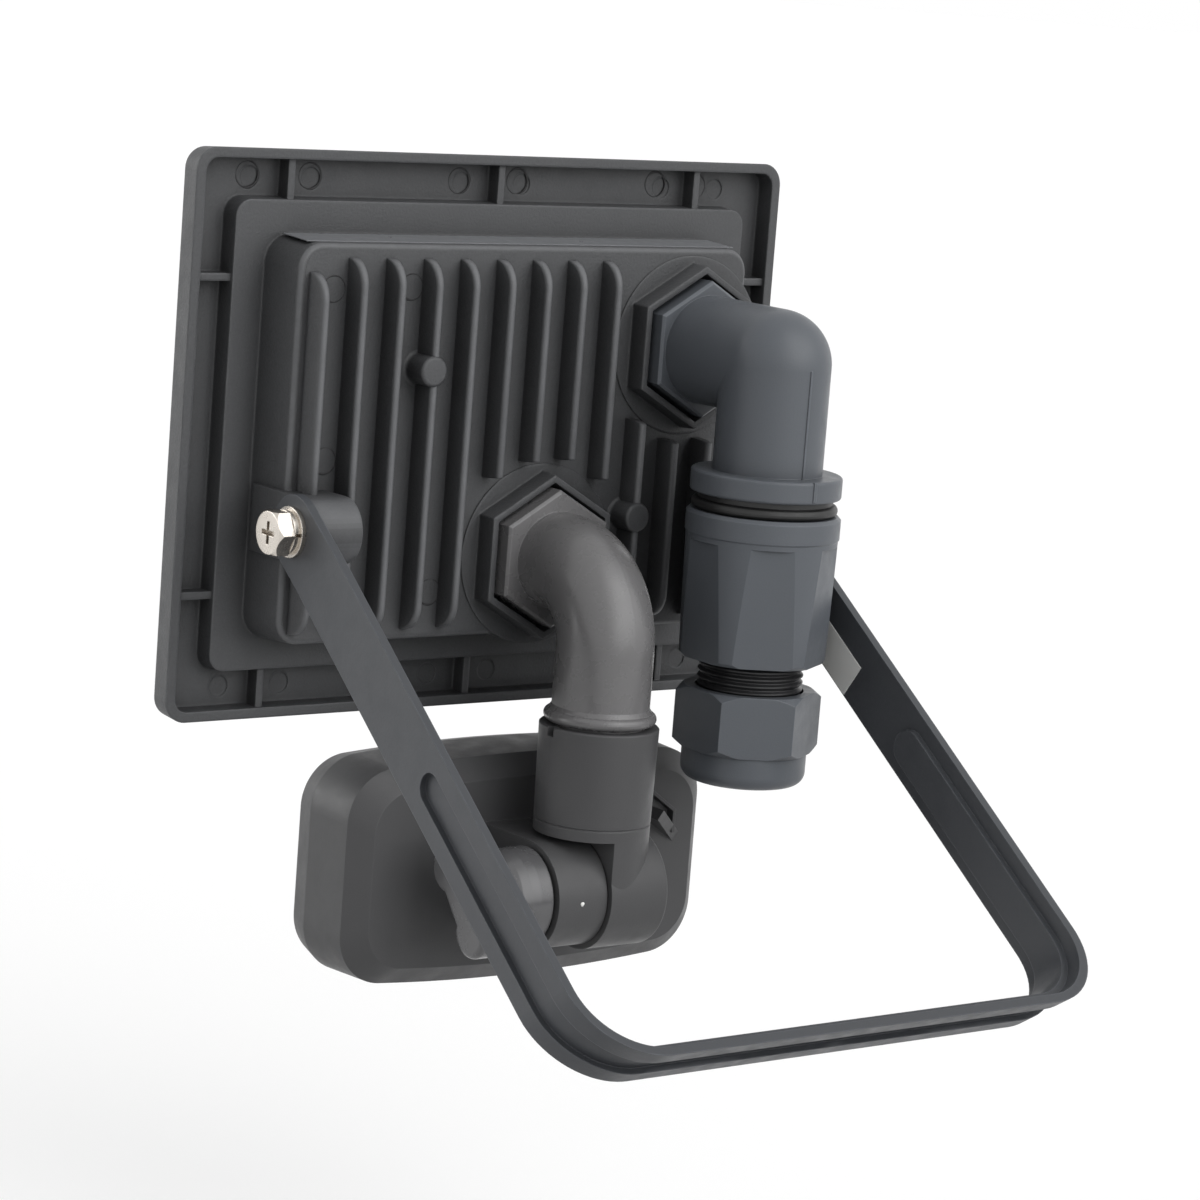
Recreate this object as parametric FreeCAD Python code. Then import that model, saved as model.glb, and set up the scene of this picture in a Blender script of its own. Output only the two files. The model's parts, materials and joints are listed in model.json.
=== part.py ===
import FreeCAD, Part
import math
import os

os.makedirs("parts", exist_ok=True)
V = FreeCAD.Vector

# Lamp frame while building: X across the lamp, Y towards the back, Z up.
# The back plane of the housing rim is Y = 0 and the rim is centred on X and Z.

# Allowances: fused shapes sink into each other, cuts run past the face they open
SINK = 0.5
PAST = 1.0
RUN_FIT = 0.05
FREE_GAP = 0.4

# Housing rim and the channel inside it
RIM_W = 172.5
RIM_H = 135.0
RIM_R = 5.0
RIM_DEPTH = 7.0
RIM_WALL = 2.4
RIM_DRAFT = 0.5
RIM_EDGE = 1.2
RIM_INNER_R = 3.5
CHANNEL_DEPTH = 5.2
CHANNEL_SIDE = 11.25
CHANNEL_END = 11.9
CHANNEL_DRAFT = 0.25
PLATE1_W = RIM_W - 2 * CHANNEL_SIDE
PLATE1_H = RIM_H - 2 * CHANNEL_END
PLATE1_R = 4.0
PLATE1_DRAFT = 0.5
PLATE1_RISE = 0.6
RIB_T = 1.8
RIB_DROP = 1.0
RIB_X = 60.0
RIB_Z = 37.4
EJECT_R = 2.6
EJECT_DEPTH = 0.3
EJECT_X = (9.0, 52.0, 69.0)
EJECT_Z = (RIM_H / 2 - RIM_WALL + PLATE1_H / 2) / 2

# Raised back plate with the cooling grooves
PLATE2_SIDE = 9.15
PLATE2_END = 8.5
PLATE2_W = PLATE1_W - 2 * PLATE2_SIDE
PLATE2_H = PLATE1_H - 2 * PLATE2_END
PLATE2_R = 6.0
PLATE2_Y = 14.4
PLATE2_DRAFT = 0.9
PLATE2_EDGE = 1.3
FIN_PITCH = 10.7
FIN_T = 2.1
FIN_MARGIN = 6.0
GROOVE_COUNT = int((PLATE2_W - 2 * FIN_MARGIN) / FIN_PITCH)
GROOVE_TOP_GAP = 3.7
GROOVE_BOTTOM_GAP = 2.9
GROOVE_DEPTH = 5.8
GROOVE_R = 3.6
GROOVE_DRAFT = 0.45
GROOVE_END_DRAFT = 1.35
STUD_R = 3.65
STUD_RISE = 0.7
STUD_EDGE = 0.9
STUDS = ((26.7, 17.1), (-37.1, -19.4))

# Cavity, light board and front glass
CAVITY_SIDE = 3.35
CAVITY_END = 3.1
CAVITY_W = PLATE2_W - 2 * CAVITY_SIDE
CAVITY_H = PLATE2_H - 2 * CAVITY_END
CAVITY_R = 4.0
CAVITY_Y = 6.3
CAVITY_DRAFT = 0.3
BOARD_GAP = 1.5
BOARD_T = 1.6
BOARD_R = 2.0
BOARD_SCREW_SIDE = 6.5
BOARD_SCREW_END = 6.0
BOARD_SCREW_R = 1.45
BOARD_HEAD_R = 2.6
BOARD_HEAD_H = 1.6
BOARD_SLOT = 0.8
CHIP_W = 3.5
CHIP_H = 2.8
CHIP_T = 0.8
CHIP_COLS = 10
CHIP_ROWS = 6
CHIP_PITCH_X = 9.4
CHIP_PITCH_Z = 10.6
CHIP_CLEAR = 8.5
DRIVER_END = 8.4
DRIVER_W = 5.0
DRIVER_H = 4.0
DRIVER_T = 1.5
DRIVER_X = (-18.0, -6.0, 6.0, 18.0)
COIL_W = 6.8
COIL_H = 5.0
COIL_T = 2.4
COIL_X = (-30.0, 30.0)
GLASS_INSET = 3.2
GLASS_T = 3.0
GLASS_R = 3.0
GLASS_EDGE = 0.5
SEAL_T = 0.5
SEAL_W = 6.0
SEAL_INSET = 0.5
REFLECTOR_T = 1.0
REFLECTOR_GAP = 0.5
REFLECTOR_SIDE = 6.0
REFLECTOR_END = 4.0
REFLECTOR_R = 3.5
REFLECTOR_LIFT = 2.6
REFLECTOR_LIP = 0.2
LABEL_T = 0.2
LABEL_MARGIN = 2.85
LABEL_D = 10.6
LABEL_Y = 1.2

# Bracket
PIVOT_Y = 23.6
PIVOT_Z = -18.4
SWING = 54.0
WEB_LEAN = 33.1
ARM_L = 158.9
ARM_GAP = 3.75
ARM_X = PLATE2_W / 2 + ARM_GAP
SPLAY = 3.8
PAD_L = 12.0
BAR_T = 2.2
BAR_W = 17.3
BEND_R = 18.0
BEAD_W = 9.4
BEAD_DEPTH = 1.6
BEAD_WALL = 1.0
BEAD_START = 79.0
BOLT_R = 3.0
BOLT_HEAD_AF = 10.0
BOLT_HEAD_H = 4.0
BOLT_EDGE = 1.0
BOLT_CROSS = 1.1
BOLT_CROSS_L = 5.2
BOLT_CROSS_DEPTH = 1.8
WASHER_R = 6.0
WASHER_T = 1.2
SPRING_R = 5.3
SPRING_T = 1.5
SPRING_CUT = 0.8
LUG_R = 7.9
LUG_L = 12.0
LUG_FOOT_Y = 2.0
THREAD_END = 2.0
CENTRE_HOLE_R = 3.5
SLOT_W = 6.0
SLOT_IN = 26.0
SLOT_OUT = 53.7
ARM_LABEL_S = 36.5
ARM_LABEL_L = 17.0
ARM_LABEL_W = 9.6
ARM_LABEL_EDGE = 0.3

# Cable ports; the mains side keeps clear of the bracket's arm
COUPLING_COLLAR_R = 18.8
COLLAR_CLEAR = 0.1
MAINS_X = -(ARM_X - BAR_T - COLLAR_CLEAR - COUPLING_COLLAR_R)
MAINS_Z = 23.3
SENSOR_X = -7.0
SENSOR_Z = -27.6
PORT_R = 22.2
PORT_RISE = 0.4
COLLAR_AF = 34.8
COLLAR_WALL = 1.5
COLLAR_H = 5.6
COLLAR_DRAFT = 0.35
PORT_BORE_R = 8.6
NUT_POCKET_R = 14.2
NUT_POCKET_Y = 10.8
NUT_AF = 24.0
NUT_T = 4.0
FLANGE_AF = 29.3
FLANGE_TOP = 23.4
FLANGE_EDGE = 0.6
PORT_SEAL_R = 14.4
PORT_SEAL_T = 1.0
SPIGOT_R = 8.4
SPIGOT_WALL = 1.8

# Mains elbow, coupling and cable gland
MAINS_TUBE_R = 13.4
MAINS_Y = 49.7
MAINS_BORE_R = 9.5
SEAM_W = 0.5
SEAM_RISE = 0.25
MAINS_RING_R = 18.4
MAINS_RING_TOP = -2.8
MAINS_RING_BOTTOM = -8.2
MAINS_RING_EDGE = 0.7
MAINS_SPIGOT_R = 14.0
MAINS_SPIGOT_Z = -22.0
COUPLING_TOP = -12.4
COUPLING_BOTTOM = -48.7
COUPLING_COLLAR_H = 5.5
COUPLING_R_TOP = 18.5
COUPLING_R_LOW = 17.9
COUPLING_AF_TOP = 35.4
COUPLING_AF_LOW = 32.4
COUPLING_BORE_R = 15.2
COUPLING_FLOOR = 5.0
COUPLING_EDGE = 0.8
COUPLING_THREAD_END = 2.0
COUPLING_SEAL_R = 16.4
COUPLING_SEAL_BEAD = 1.4
NECK_R = 12.9
NECK_BORE_R = 8.8
NECK_INSIDE = 5.0
THREAD_PITCH = 1.75
THREAD_DEPTH = 0.7
GLAND_TOP = -55.8
GLAND_HEX_BOTTOM = -70.9
GLAND_BOTTOM = -79.0
GLAND_AF = 31.2
GLAND_EDGE = 1.6
GLAND_ROUND_R = 15.3
GLAND_SKIRT_R = 3.2
GLAND_FLOOR = 3.0
GLAND_THREAD_L = 7.5
GLAND_CONE_R = 10.2
GLAND_INLET_R = 7.0
GLAND_INLET_EDGE = 0.8
GLAND_SEAL_R = 9.6
CABLE_R = 4.5
BLOCK_W = 21.0
BLOCK_D = 12.0
BLOCK_H = 13.0
BLOCK_TOP = -25.0
BLOCK_PITCH = 6.6
BLOCK_HOLE_R = 2.3
BLOCK_FOOT_D = 4.0
TERMINAL_R = 1.9
TERMINAL_END = 3.4
TERMINAL_SLOT = 0.7
LEAD_R = 1.4
LEAD_PITCH = 3.0
LEAD_HOLE_R = 4.7
LEAD_END = 0.2

# Sensor elbow and swivel sleeve
ELBOW_R = 11.8
ELBOW_BORE_R = 8.6
ELBOW_Y = 45.0
ELBOW_BEND_R = 18.0
BEAD_R = 13.6
BEAD_ROUND = 1.5
BEAD_TOP = -59.8
BEAD_BOTTOM = -63.3
SWIVEL_R = 11.4
SWIVEL_Z = -80.0
SLEEVE_R_TOP = 14.45
SLEEVE_R_LOW = 14.05
SLEEVE_TOP = -63.6
SLEEVE_BOTTOM = -89.7
SLEEVE_PART_Z = -86.8
SLEEVE_GROOVE = 0.3
SLEEVE_FLOOR = 6.0
SLEEVE_NOTCH_W = 2.4
SLEEVE_NOTCH_H = 2.2
WIRE_WAY_R = 6.0

# Tilt pivot of the sensor head
TILT_Y = 45.0
TILT_Z = -104.1
KNUCKLE_R = 14.4
KNUCKLE_EDGE = 0.8
HEAD_KNUCKLE_R = 13.1
KNUCKLE_SPLIT_X = -3.6
KNUCKLE_RIGHT_X = -20.9
KNUCKLE_LEFT_X = 10.7
TILT_BOLT_R = 3.0
TILT_HEAD_AF = 10.0
TILT_HEAD_H = 4.0
TILT_HEAD_IN = 2.0
TILT_POCKET_R = 6.9
TILT_THREAD_L = 4.0
KNOB_R = 11.8
KNOB_HUB = 3.4
KNOB_DOME = 12.0
KNOB_GAP = 0.8
WASHER_INSET = 1.2
WING_X = 12.0
WING_T = 7.5
WING_REACH = 8.5
WING_TIP_R = 6.0
WING_HALF = 4.2
WING_EDGE = 1.5
WING_ANGLE = 130.0

# Sensor head
HEAD_X = -6.2
HEAD_Z = -103.6
HEAD_W = 105.6
HEAD_H = 56.2
HEAD_R = 13.0
HEAD_BOW_R = 500.0
HEAD_BACK_Y = 25.0
HEAD_CHAMFER_Y = 20.2
HEAD_CHAMFER = 4.8
HEAD_SEAM_Y = 5.0
HEAD_FRONT_Y = -2.5
HEAD_FRONT_IN = 1.0
HEAD_FLARE = 0.6
HEAD_FRONT_R = 1.5
SHELL_T = 2.2
LIP_T = 1.2
LIP_H = 3.0
LIP_GAP = 0.25
CATCH_X = -48.3
CATCH_Z = -100.3
CATCH_TURN = 35.0
CATCH_L = 14.0
CATCH_RISE = 8.0
CATCH_T = 2.9
CATCH_WALL = 0.9
CATCH_WALL_H = 2.5
CATCH_WALL_X = -45.9
CATCH_WALL_Z = -91.4
LENS_W = 60.0
LENS_H = 40.0
LENS_R = 6.0
LENS_GAP = 0.2
LENS_RISE = 13.0
LENS_T = 1.2
LENS_BRIM = 2.5
LENS_BRIM_T = 1.0
SENSOR_BOARD_T = 1.6
PYRO_R = 4.6
PYRO_RIM_R = 5.2
PYRO_H = 4.2
RELAY_W = 15.0
RELAY_H = 19.0
RELAY_T = 13.5
RELAY_X = 18.0
CAPACITOR_R = 4.0
CAPACITOR_L = 11.0
CAPACITOR_X = -12.0
CAPACITOR_Z = 8.0


def box(x0, x1, y0, y1, z0, z1):
    return Part.makeBox(x1 - x0, y1 - y0, z1 - z0, V(x0, y0, z0))


def cyl_x(y, z, r, x0, x1):
    return Part.makeCylinder(r, x1 - x0, V(x0, y, z), V(1, 0, 0))


def cyl_y(x, z, r, y0, y1):
    return Part.makeCylinder(r, y1 - y0, V(x, y0, z), V(0, 1, 0))


def cyl_z(x, y, r, z0, z1):
    return Part.makeCylinder(r, z1 - z0, V(x, y, z0), V(0, 0, 1))


def rounded_wire(w, h, r, y, cx=0.0, cz=0.0):
    a = w / 2.0
    b = h / 2.0
    k = r * (1 - math.sqrt(0.5))
    edges = []
    corners = [(1, 1), (-1, 1), (-1, -1), (1, -1)]
    arcs = []
    for sx, sz in corners:
        p0 = V(cx + sx * a, y, cz + sz * (b - r))
        pm = V(cx + sx * (a - k), y, cz + sz * (b - k))
        p1 = V(cx + sx * (a - r), y, cz + sz * b)
        if sx * sz < 0:
            p0, p1 = p1, p0
        arcs.append((p0, pm, p1))
    for i in range(4):
        p0, pm, p1 = arcs[i]
        edges.append(Part.Arc(p0, pm, p1).toShape())
        nxt = arcs[(i + 1) % 4][0]
        edges.append(Part.makeLine(p1, nxt))
    return Part.Wire(edges)


def rounded_block(w, h, r, y0, y1, grow=0.0, cx=0.0, cz=0.0):
    # Block along Y; its section is grow larger on each side at y0 than at y1.
    low = rounded_wire(w + 2 * grow, h + 2 * grow, r + grow, y0, cx, cz)
    high = rounded_wire(w, h, r, y1, cx, cz)
    return Part.makeLoft([low, high], True, True)


def hex_wire_y(af, y, cx, cz):
    r = af / math.sqrt(3.0)
    pts = []
    for k in range(7):
        t = math.radians(60 * k + 30)
        pts.append(V(cx + r * math.cos(t), y, cz + r * math.sin(t)))
    return Part.makePolygon(pts)


def hex_block_y(af, y0, y1, cx, cz, grow=0.0):
    low = hex_wire_y(af + 2 * grow, y0, cx, cz)
    high = hex_wire_y(af, y1, cx, cz)
    return Part.makeLoft([low, high], True, True)


def hex_wire_z(af, z, cx, cy):
    r = af / math.sqrt(3.0)
    pts = []
    for k in range(7):
        t = math.radians(60 * k + 30)
        pts.append(V(cx + r * math.cos(t), cy + r * math.sin(t), z))
    return Part.makePolygon(pts)


def hex_block_z(af0, z0, af1, z1, cx, cy):
    low = hex_wire_z(af0, z0, cx, cy)
    high = hex_wire_z(af1, z1, cx, cy)
    return Part.makeLoft([low, high], True, True)


def hex_block_x(af, x0, x1, cy, cz):
    r = af / math.sqrt(3.0)
    pts = []
    for k in range(7):
        t = math.radians(60 * k)
        pts.append(V(x0, cy + r * math.cos(t), cz + r * math.sin(t)))
    return Part.Face(Part.makePolygon(pts)).extrude(V(x1 - x0, 0, 0))


def turned_z(profile, cx, cy):
    # Solid of revolution about the vertical axis through (cx, cy); profile holds (radius, z).
    pts = [V(cx + r, cy, z) for r, z in profile]
    pts.append(pts[0])
    return Part.Face(Part.makePolygon(pts)).revolve(V(cx, cy, 0), V(0, 0, 1), 360)


def turned_x(profile, cy, cz):
    pts = [V(x, cy, cz + r) for r, x in profile]
    pts.append(pts[0])
    return Part.Face(Part.makePolygon(pts)).revolve(V(0, cy, cz), V(1, 0, 0), 360)


def arc_points(r0, z0, radius, start, stop, count):
    pts = []
    for k in range(count + 1):
        t = math.radians(start + (stop - start) * k / count)
        pts.append((r0 + radius * math.cos(t), z0 + radius * math.sin(t)))
    return pts


def fuse(shapes):
    result = shapes[0]
    for s in shapes[1:]:
        result = result.fuse(s)
    return result.removeSplitter()


def edges_where(shape, test):
    return [e for e in shape.Edges if test(e)]


def groove_edges_x():
    first = -FIN_PITCH * GROOVE_COUNT / 2.0
    return [first + FIN_PITCH * k for k in range(GROOVE_COUNT)]


def port_centres():
    return [(MAINS_X, MAINS_Z), (SENSOR_X, SENSOR_Z)]


def span(side, near, far):
    # The stretch between two distances from the middle, on the side given by its sign.
    return sorted((side * near, side * far))


def channel_ribs():
    x_in = PLATE1_W / 2.0 - SINK
    x_out = RIM_W / 2.0 - RIM_WALL + SINK
    z_in = PLATE1_H / 2.0 - SINK
    z_out = RIM_H / 2.0 - RIM_WALL + SINK
    half = RIB_T / 2.0
    floor = -CHANNEL_DEPTH - SINK
    ribs = []
    for s in (1, -1):
        z0, z1 = span(s, z_in, z_out)
        x0, x1 = span(s, x_in, x_out)
        for x in (-RIB_X, 0.0, RIB_X):
            ribs.append(box(x - half, x + half, floor, -RIB_DROP, z0, z1))
        for z in (-RIB_Z, RIB_Z):
            ribs.append(box(x0, x1, floor, -RIB_DROP, z - half, z + half))
    return ribs


def channel_marks():
    # Shallow round marks that the ejector pins leave in the channel's floor.
    y0 = -CHANNEL_DEPTH - EJECT_DEPTH
    y1 = -CHANNEL_DEPTH + PAST
    marks = []
    for x in EJECT_X:
        for sx in (1, -1):
            for sz in (1, -1):
                marks.append(cyl_y(sx * x, sz * EJECT_Z, EJECT_R, y0, y1))
    return marks


def rim_block():
    body = rounded_block(RIM_W - 2 * RIM_DRAFT, RIM_H - 2 * RIM_DRAFT, RIM_R, 0.0, -RIM_DEPTH, RIM_DRAFT)
    front = edges_where(body, lambda e: e.BoundBox.YMax < -RIM_DEPTH + 0.01)
    body = body.makeFillet(RIM_EDGE, front)
    inner_w = RIM_W - 2 * RIM_WALL
    inner_h = RIM_H - 2 * RIM_WALL
    channel = rounded_block(inner_w, inner_h, RIM_INNER_R, -CHANNEL_DEPTH, SINK, -CHANNEL_DRAFT)
    island = rounded_block(PLATE1_W, PLATE1_H, PLATE1_R, -CHANNEL_DEPTH - SINK, PLATE1_RISE, PLATE1_DRAFT)
    return body.cut(channel.cut(island))


def back_plate():
    plate = rounded_block(PLATE2_W, PLATE2_H, PLATE2_R, -SINK, PLATE2_Y, PLATE2_DRAFT)
    top = edges_where(plate, lambda e: e.BoundBox.YMin > PLATE2_Y - 0.01)
    plate = plate.makeFillet(PLATE2_EDGE, top)
    z_top = PLATE2_H / 2.0 - GROOVE_TOP_GAP
    z_low = GROOVE_BOTTOM_GAP - PLATE2_H / 2.0
    w = FIN_PITCH - FIN_T - 2 * GROOVE_DRAFT
    h = z_top - z_low - 2 * GROOVE_END_DRAFT
    floor = PLATE2_Y - GROOVE_DEPTH
    cuts = []
    for x in groove_edges_x():
        cuts.append(rounded_block(w, h, GROOVE_R - GROOVE_DRAFT, PLATE2_Y + PAST, floor, GROOVE_DRAFT,
                                  x + FIN_PITCH / 2.0, (z_top + z_low) / 2.0))
    return plate.cut(cuts)


def ports():
    solids = []
    y = PLATE2_Y + PORT_RISE
    for x, z in port_centres():
        solids.append(cyl_y(x, z, PORT_R, -SINK, y))
        solids.append(hex_block_y(COLLAR_AF, y - SINK, y + COLLAR_H, x, z, COLLAR_DRAFT))
    return solids


def port_cuts():
    cuts = []
    y = PLATE2_Y + PORT_RISE
    for x, z in port_centres():
        cuts.append(hex_block_y(COLLAR_AF - 2 * COLLAR_WALL, y, y + COLLAR_H + PAST, x, z))
        cuts.append(cyl_y(x, z, PORT_BORE_R, CAVITY_Y - PAST, y + PAST))
        cuts.append(cyl_y(x, z, NUT_POCKET_R, CAVITY_Y - PAST, NUT_POCKET_Y))
    return cuts


def pivot_lugs():
    lugs = []
    inner = ARM_X - BAR_T
    for s in (1, -1):
        x0, x1 = span(s, inner - LUG_L, inner)
        lugs.append(cyl_x(PIVOT_Y, PIVOT_Z, LUG_R, x0, x1))
        lugs.append(box(x0, x1, LUG_FOOT_Y, PIVOT_Y, PIVOT_Z - LUG_R, PIVOT_Z + LUG_R))
    return lugs


def studs():
    pads = []
    y = PLATE2_Y + STUD_RISE
    for x, z in STUDS:
        pad = cyl_y(x, z, STUD_R, PLATE2_Y - GROOVE_DEPTH - SINK, y)
        top = edges_where(pad, lambda e: e.BoundBox.YMin > y - 0.01)
        pads.append(pad.makeFillet(STUD_EDGE, top))
    return pads


def housing():
    body = fuse([rim_block(), back_plate()] + channel_ribs() + ports() + studs() + pivot_lugs())
    cuts = port_cuts() + channel_marks()
    cuts.append(rounded_block(CAVITY_W, CAVITY_H, CAVITY_R, -RIM_DEPTH - PAST, CAVITY_Y, CAVITY_DRAFT))
    for s in (1, -1):
        x0, x1 = span(s, ARM_X - BAR_T - LUG_L + THREAD_END, ARM_X + PAST)
        cuts.append(cyl_x(PIVOT_Y, PIVOT_Z, BOLT_R, x0, x1))
    return body.cut(cuts)


def front_glass():
    y1 = -RIM_DEPTH - SEAL_T
    w = RIM_W - 2 * GLASS_INSET
    h = RIM_H - 2 * GLASS_INSET
    pane = rounded_block(w, h, GLASS_R, y1 - GLASS_T, y1)
    front = edges_where(pane, lambda e: e.BoundBox.YMax < y1 - GLASS_T + 0.01)
    return pane.makeChamfer(GLASS_EDGE, front)


def glass_seal():
    w = RIM_W - 2 * GLASS_INSET - 2 * SEAL_INSET
    h = RIM_H - 2 * GLASS_INSET - 2 * SEAL_INSET
    y0 = -RIM_DEPTH - SEAL_T
    outer = rounded_block(w, h, GLASS_R, y0, -RIM_DEPTH)
    inner = rounded_block(w - 2 * SEAL_W, h - 2 * SEAL_W, GLASS_R, y0 - PAST, -RIM_DEPTH + PAST)
    return outer.cut(inner)


def board_screw_points():
    a = CAVITY_W / 2.0 - BOARD_SCREW_SIDE
    b = CAVITY_H / 2.0 - BOARD_SCREW_END
    return [(x, z) for x in (-a, a) for z in (-b, 0.0, b)]


def led_board():
    w = CAVITY_W - 2 * BOARD_GAP
    h = CAVITY_H - 2 * BOARD_GAP
    y0 = CAVITY_Y - BOARD_T
    board = rounded_block(w, h, BOARD_R, y0, CAVITY_Y)
    cuts = []
    for x, z in board_screw_points():
        cuts.append(cyl_y(x, z, BOARD_SCREW_R + RUN_FIT, y0 - PAST, CAVITY_Y + PAST))
    for x, z in port_centres():
        cuts.append(cyl_y(x, z, LEAD_HOLE_R, y0 - PAST, CAVITY_Y + PAST))
    return board.cut(cuts)


def led_chips():
    # A regular field of chips that leaves out those over the two lead holes.
    y1 = CAVITY_Y - BOARD_T
    chips = []
    for i in range(CHIP_COLS):
        for j in range(CHIP_ROWS):
            x = (i - (CHIP_COLS - 1) / 2.0) * CHIP_PITCH_X
            z = (j - (CHIP_ROWS - 1) / 2.0) * CHIP_PITCH_Z
            near = min(math.hypot(x - px, z - pz) for px, pz in port_centres())
            if near > CHIP_CLEAR:
                chips.append(box(x - CHIP_W / 2, x + CHIP_W / 2, y1 - CHIP_T, y1, z - CHIP_H / 2, z + CHIP_H / 2))
    return chips


def driver_chips():
    y1 = CAVITY_Y - BOARD_T
    z = CAVITY_H / 2.0 - DRIVER_END
    parts = []
    for x in DRIVER_X:
        parts.append(box(x - DRIVER_W / 2, x + DRIVER_W / 2, y1 - DRIVER_T, y1, z - DRIVER_H / 2, z + DRIVER_H / 2))
    for x in COIL_X:
        parts.append(box(x - COIL_W / 2, x + COIL_W / 2, y1 - COIL_T, y1, z - COIL_H / 2, z + COIL_H / 2))
    return parts


def board_screws():
    y1 = CAVITY_Y - BOARD_T
    reach = 0.7 * BOARD_HEAD_R
    half = BOARD_SLOT / 2.0
    screws = []
    for x, z in board_screw_points():
        head = cyl_y(x, z, BOARD_HEAD_R, y1 - BOARD_HEAD_H, y1)
        slot = box(x - half, x + half, y1 - BOARD_HEAD_H - PAST, y1 - BOARD_HEAD_H / 2.0, z - reach, z + reach)
        shank = cyl_y(x, z, BOARD_SCREW_R, y1 - SINK, CAVITY_Y - RUN_FIT)
        screws.append(fuse([head.cut(slot), shank]))
    return screws


def reflector():
    # Thin funnel round the light board, wider at the glass than at the board.
    y_back = CAVITY_Y - BOARD_T - REFLECTOR_LIFT
    y_front = -RIM_DEPTH + REFLECTOR_LIP
    w = CAVITY_W - 2 * REFLECTOR_GAP
    h = CAVITY_H - 2 * REFLECTOR_GAP

    def funnel(inset, past):
        front = rounded_wire(w - 2 * inset, h - 2 * inset, REFLECTOR_R - inset, y_front - past)
        back = rounded_wire(w - 2 * REFLECTOR_SIDE - 2 * inset, h - 2 * REFLECTOR_END - 2 * inset,
                            REFLECTOR_R - inset, y_back + past)
        return Part.makeLoft([front, back], True, True)

    return funnel(0.0, 0.0).cut(funnel(REFLECTOR_T, 0.01))


def rating_label():
    # Blank film on the top wall of the raised back plate, lying along its draft.
    depth = PLATE2_Y + SINK
    slope = math.degrees(math.atan2(PLATE2_DRAFT, depth))
    half = PLATE2_W / 2.0 - LABEL_MARGIN
    film = box(-half, half, 0, LABEL_D, 0, LABEL_T)
    film.rotate(V(0, 0, 0), V(1, 0, 0), -slope)
    film.translate(V(0, LABEL_Y, PLATE2_H / 2 + PLATE2_DRAFT * (PLATE2_Y - LABEL_Y) / depth))
    return film


def port_seal(x, z):
    y = PLATE2_Y + PORT_RISE
    hole = cyl_y(x, z, SPIGOT_R, y - PAST, y + PORT_SEAL_T + PAST)
    return cyl_y(x, z, PORT_SEAL_R, y, y + PORT_SEAL_T).cut(hole)


def lock_nut(x, z):
    y0 = NUT_POCKET_Y - NUT_T
    nut = hex_block_y(NUT_AF, y0, NUT_POCKET_Y, x, z)
    return nut.cut(cyl_y(x, z, SPIGOT_R, y0 - PAST, NUT_POCKET_Y + PAST))


def elbow_base(x, z, bore):
    # Hexagonal flange in the port's collar and the spigot that its lock nut holds.
    y0 = PLATE2_Y + PORT_RISE + PORT_SEAL_T
    spigot_y = NUT_POCKET_Y - NUT_T - SINK
    flange = hex_block_y(FLANGE_AF, y0, FLANGE_TOP, x, z)
    edge = edges_where(flange, lambda e: e.BoundBox.YMin > FLANGE_TOP - 0.01)
    flange = flange.makeChamfer(FLANGE_EDGE, edge)
    spigot = cyl_y(x, z, SPIGOT_R, spigot_y, y0 + SINK)
    hole = cyl_y(x, z, min(bore, SPIGOT_R - SPIGOT_WALL), spigot_y - PAST, FLANGE_TOP + PAST)
    return [flange, spigot], hole


def mains_elbow():
    x = MAINS_X
    y = MAINS_Y
    z = MAINS_Z
    base, hole = elbow_base(x, z, MAINS_BORE_R)
    tube = cyl_y(x, z, MAINS_TUBE_R, FLANGE_TOP - SINK, y)
    dome = Part.makeSphere(MAINS_TUBE_R, V(x, y, z))
    drop = cyl_z(x, y, MAINS_TUBE_R, MAINS_RING_TOP - SINK, z)
    ring = cyl_z(x, y, MAINS_RING_R, MAINS_RING_BOTTOM, MAINS_RING_TOP)
    ring = ring.makeFillet(MAINS_RING_EDGE, edges_where(ring, lambda e: e.BoundBox.ZLength < 0.01))
    spigot = cyl_z(x, y, MAINS_SPIGOT_R, MAINS_SPIGOT_Z, MAINS_RING_BOTTOM + SINK)
    y1 = y + MAINS_TUBE_R
    seam = box(x - SEAM_W / 2, x + SEAM_W / 2, y1 - PAST, y1 + SEAM_RISE, MAINS_RING_TOP, z)
    y1 = y + MAINS_RING_R
    z0 = MAINS_RING_BOTTOM + MAINS_RING_EDGE
    ring_seam = box(x - SEAM_W, x + SEAM_W, y1 - PAST, y1 + SEAM_RISE, z0, MAINS_RING_TOP)
    body = fuse(base + [tube, dome, drop, ring, spigot, seam, ring_seam])
    way = [cyl_y(x, z, MAINS_BORE_R, FLANGE_TOP - PAST, y), Part.makeSphere(MAINS_BORE_R, V(x, y, z))]
    return body.cut([hole] + way + [cyl_z(x, y, MAINS_BORE_R, MAINS_SPIGOT_Z - PAST, z)])


def coupling_seal():
    # Flat ring on the coupling's rim with a rounded bead outside.
    r = COUPLING_SEAL_R
    bead = COUPLING_SEAL_BEAD
    prof = [(MAINS_SPIGOT_R, COUPLING_TOP), (r, COUPLING_TOP)]
    prof += arc_points(r, COUPLING_TOP + bead, bead, -90, 90, 8)
    prof += [(r, MAINS_RING_BOTTOM), (MAINS_SPIGOT_R, MAINS_RING_BOTTOM)]
    return turned_z(prof, MAINS_X, MAINS_Y)


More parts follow.
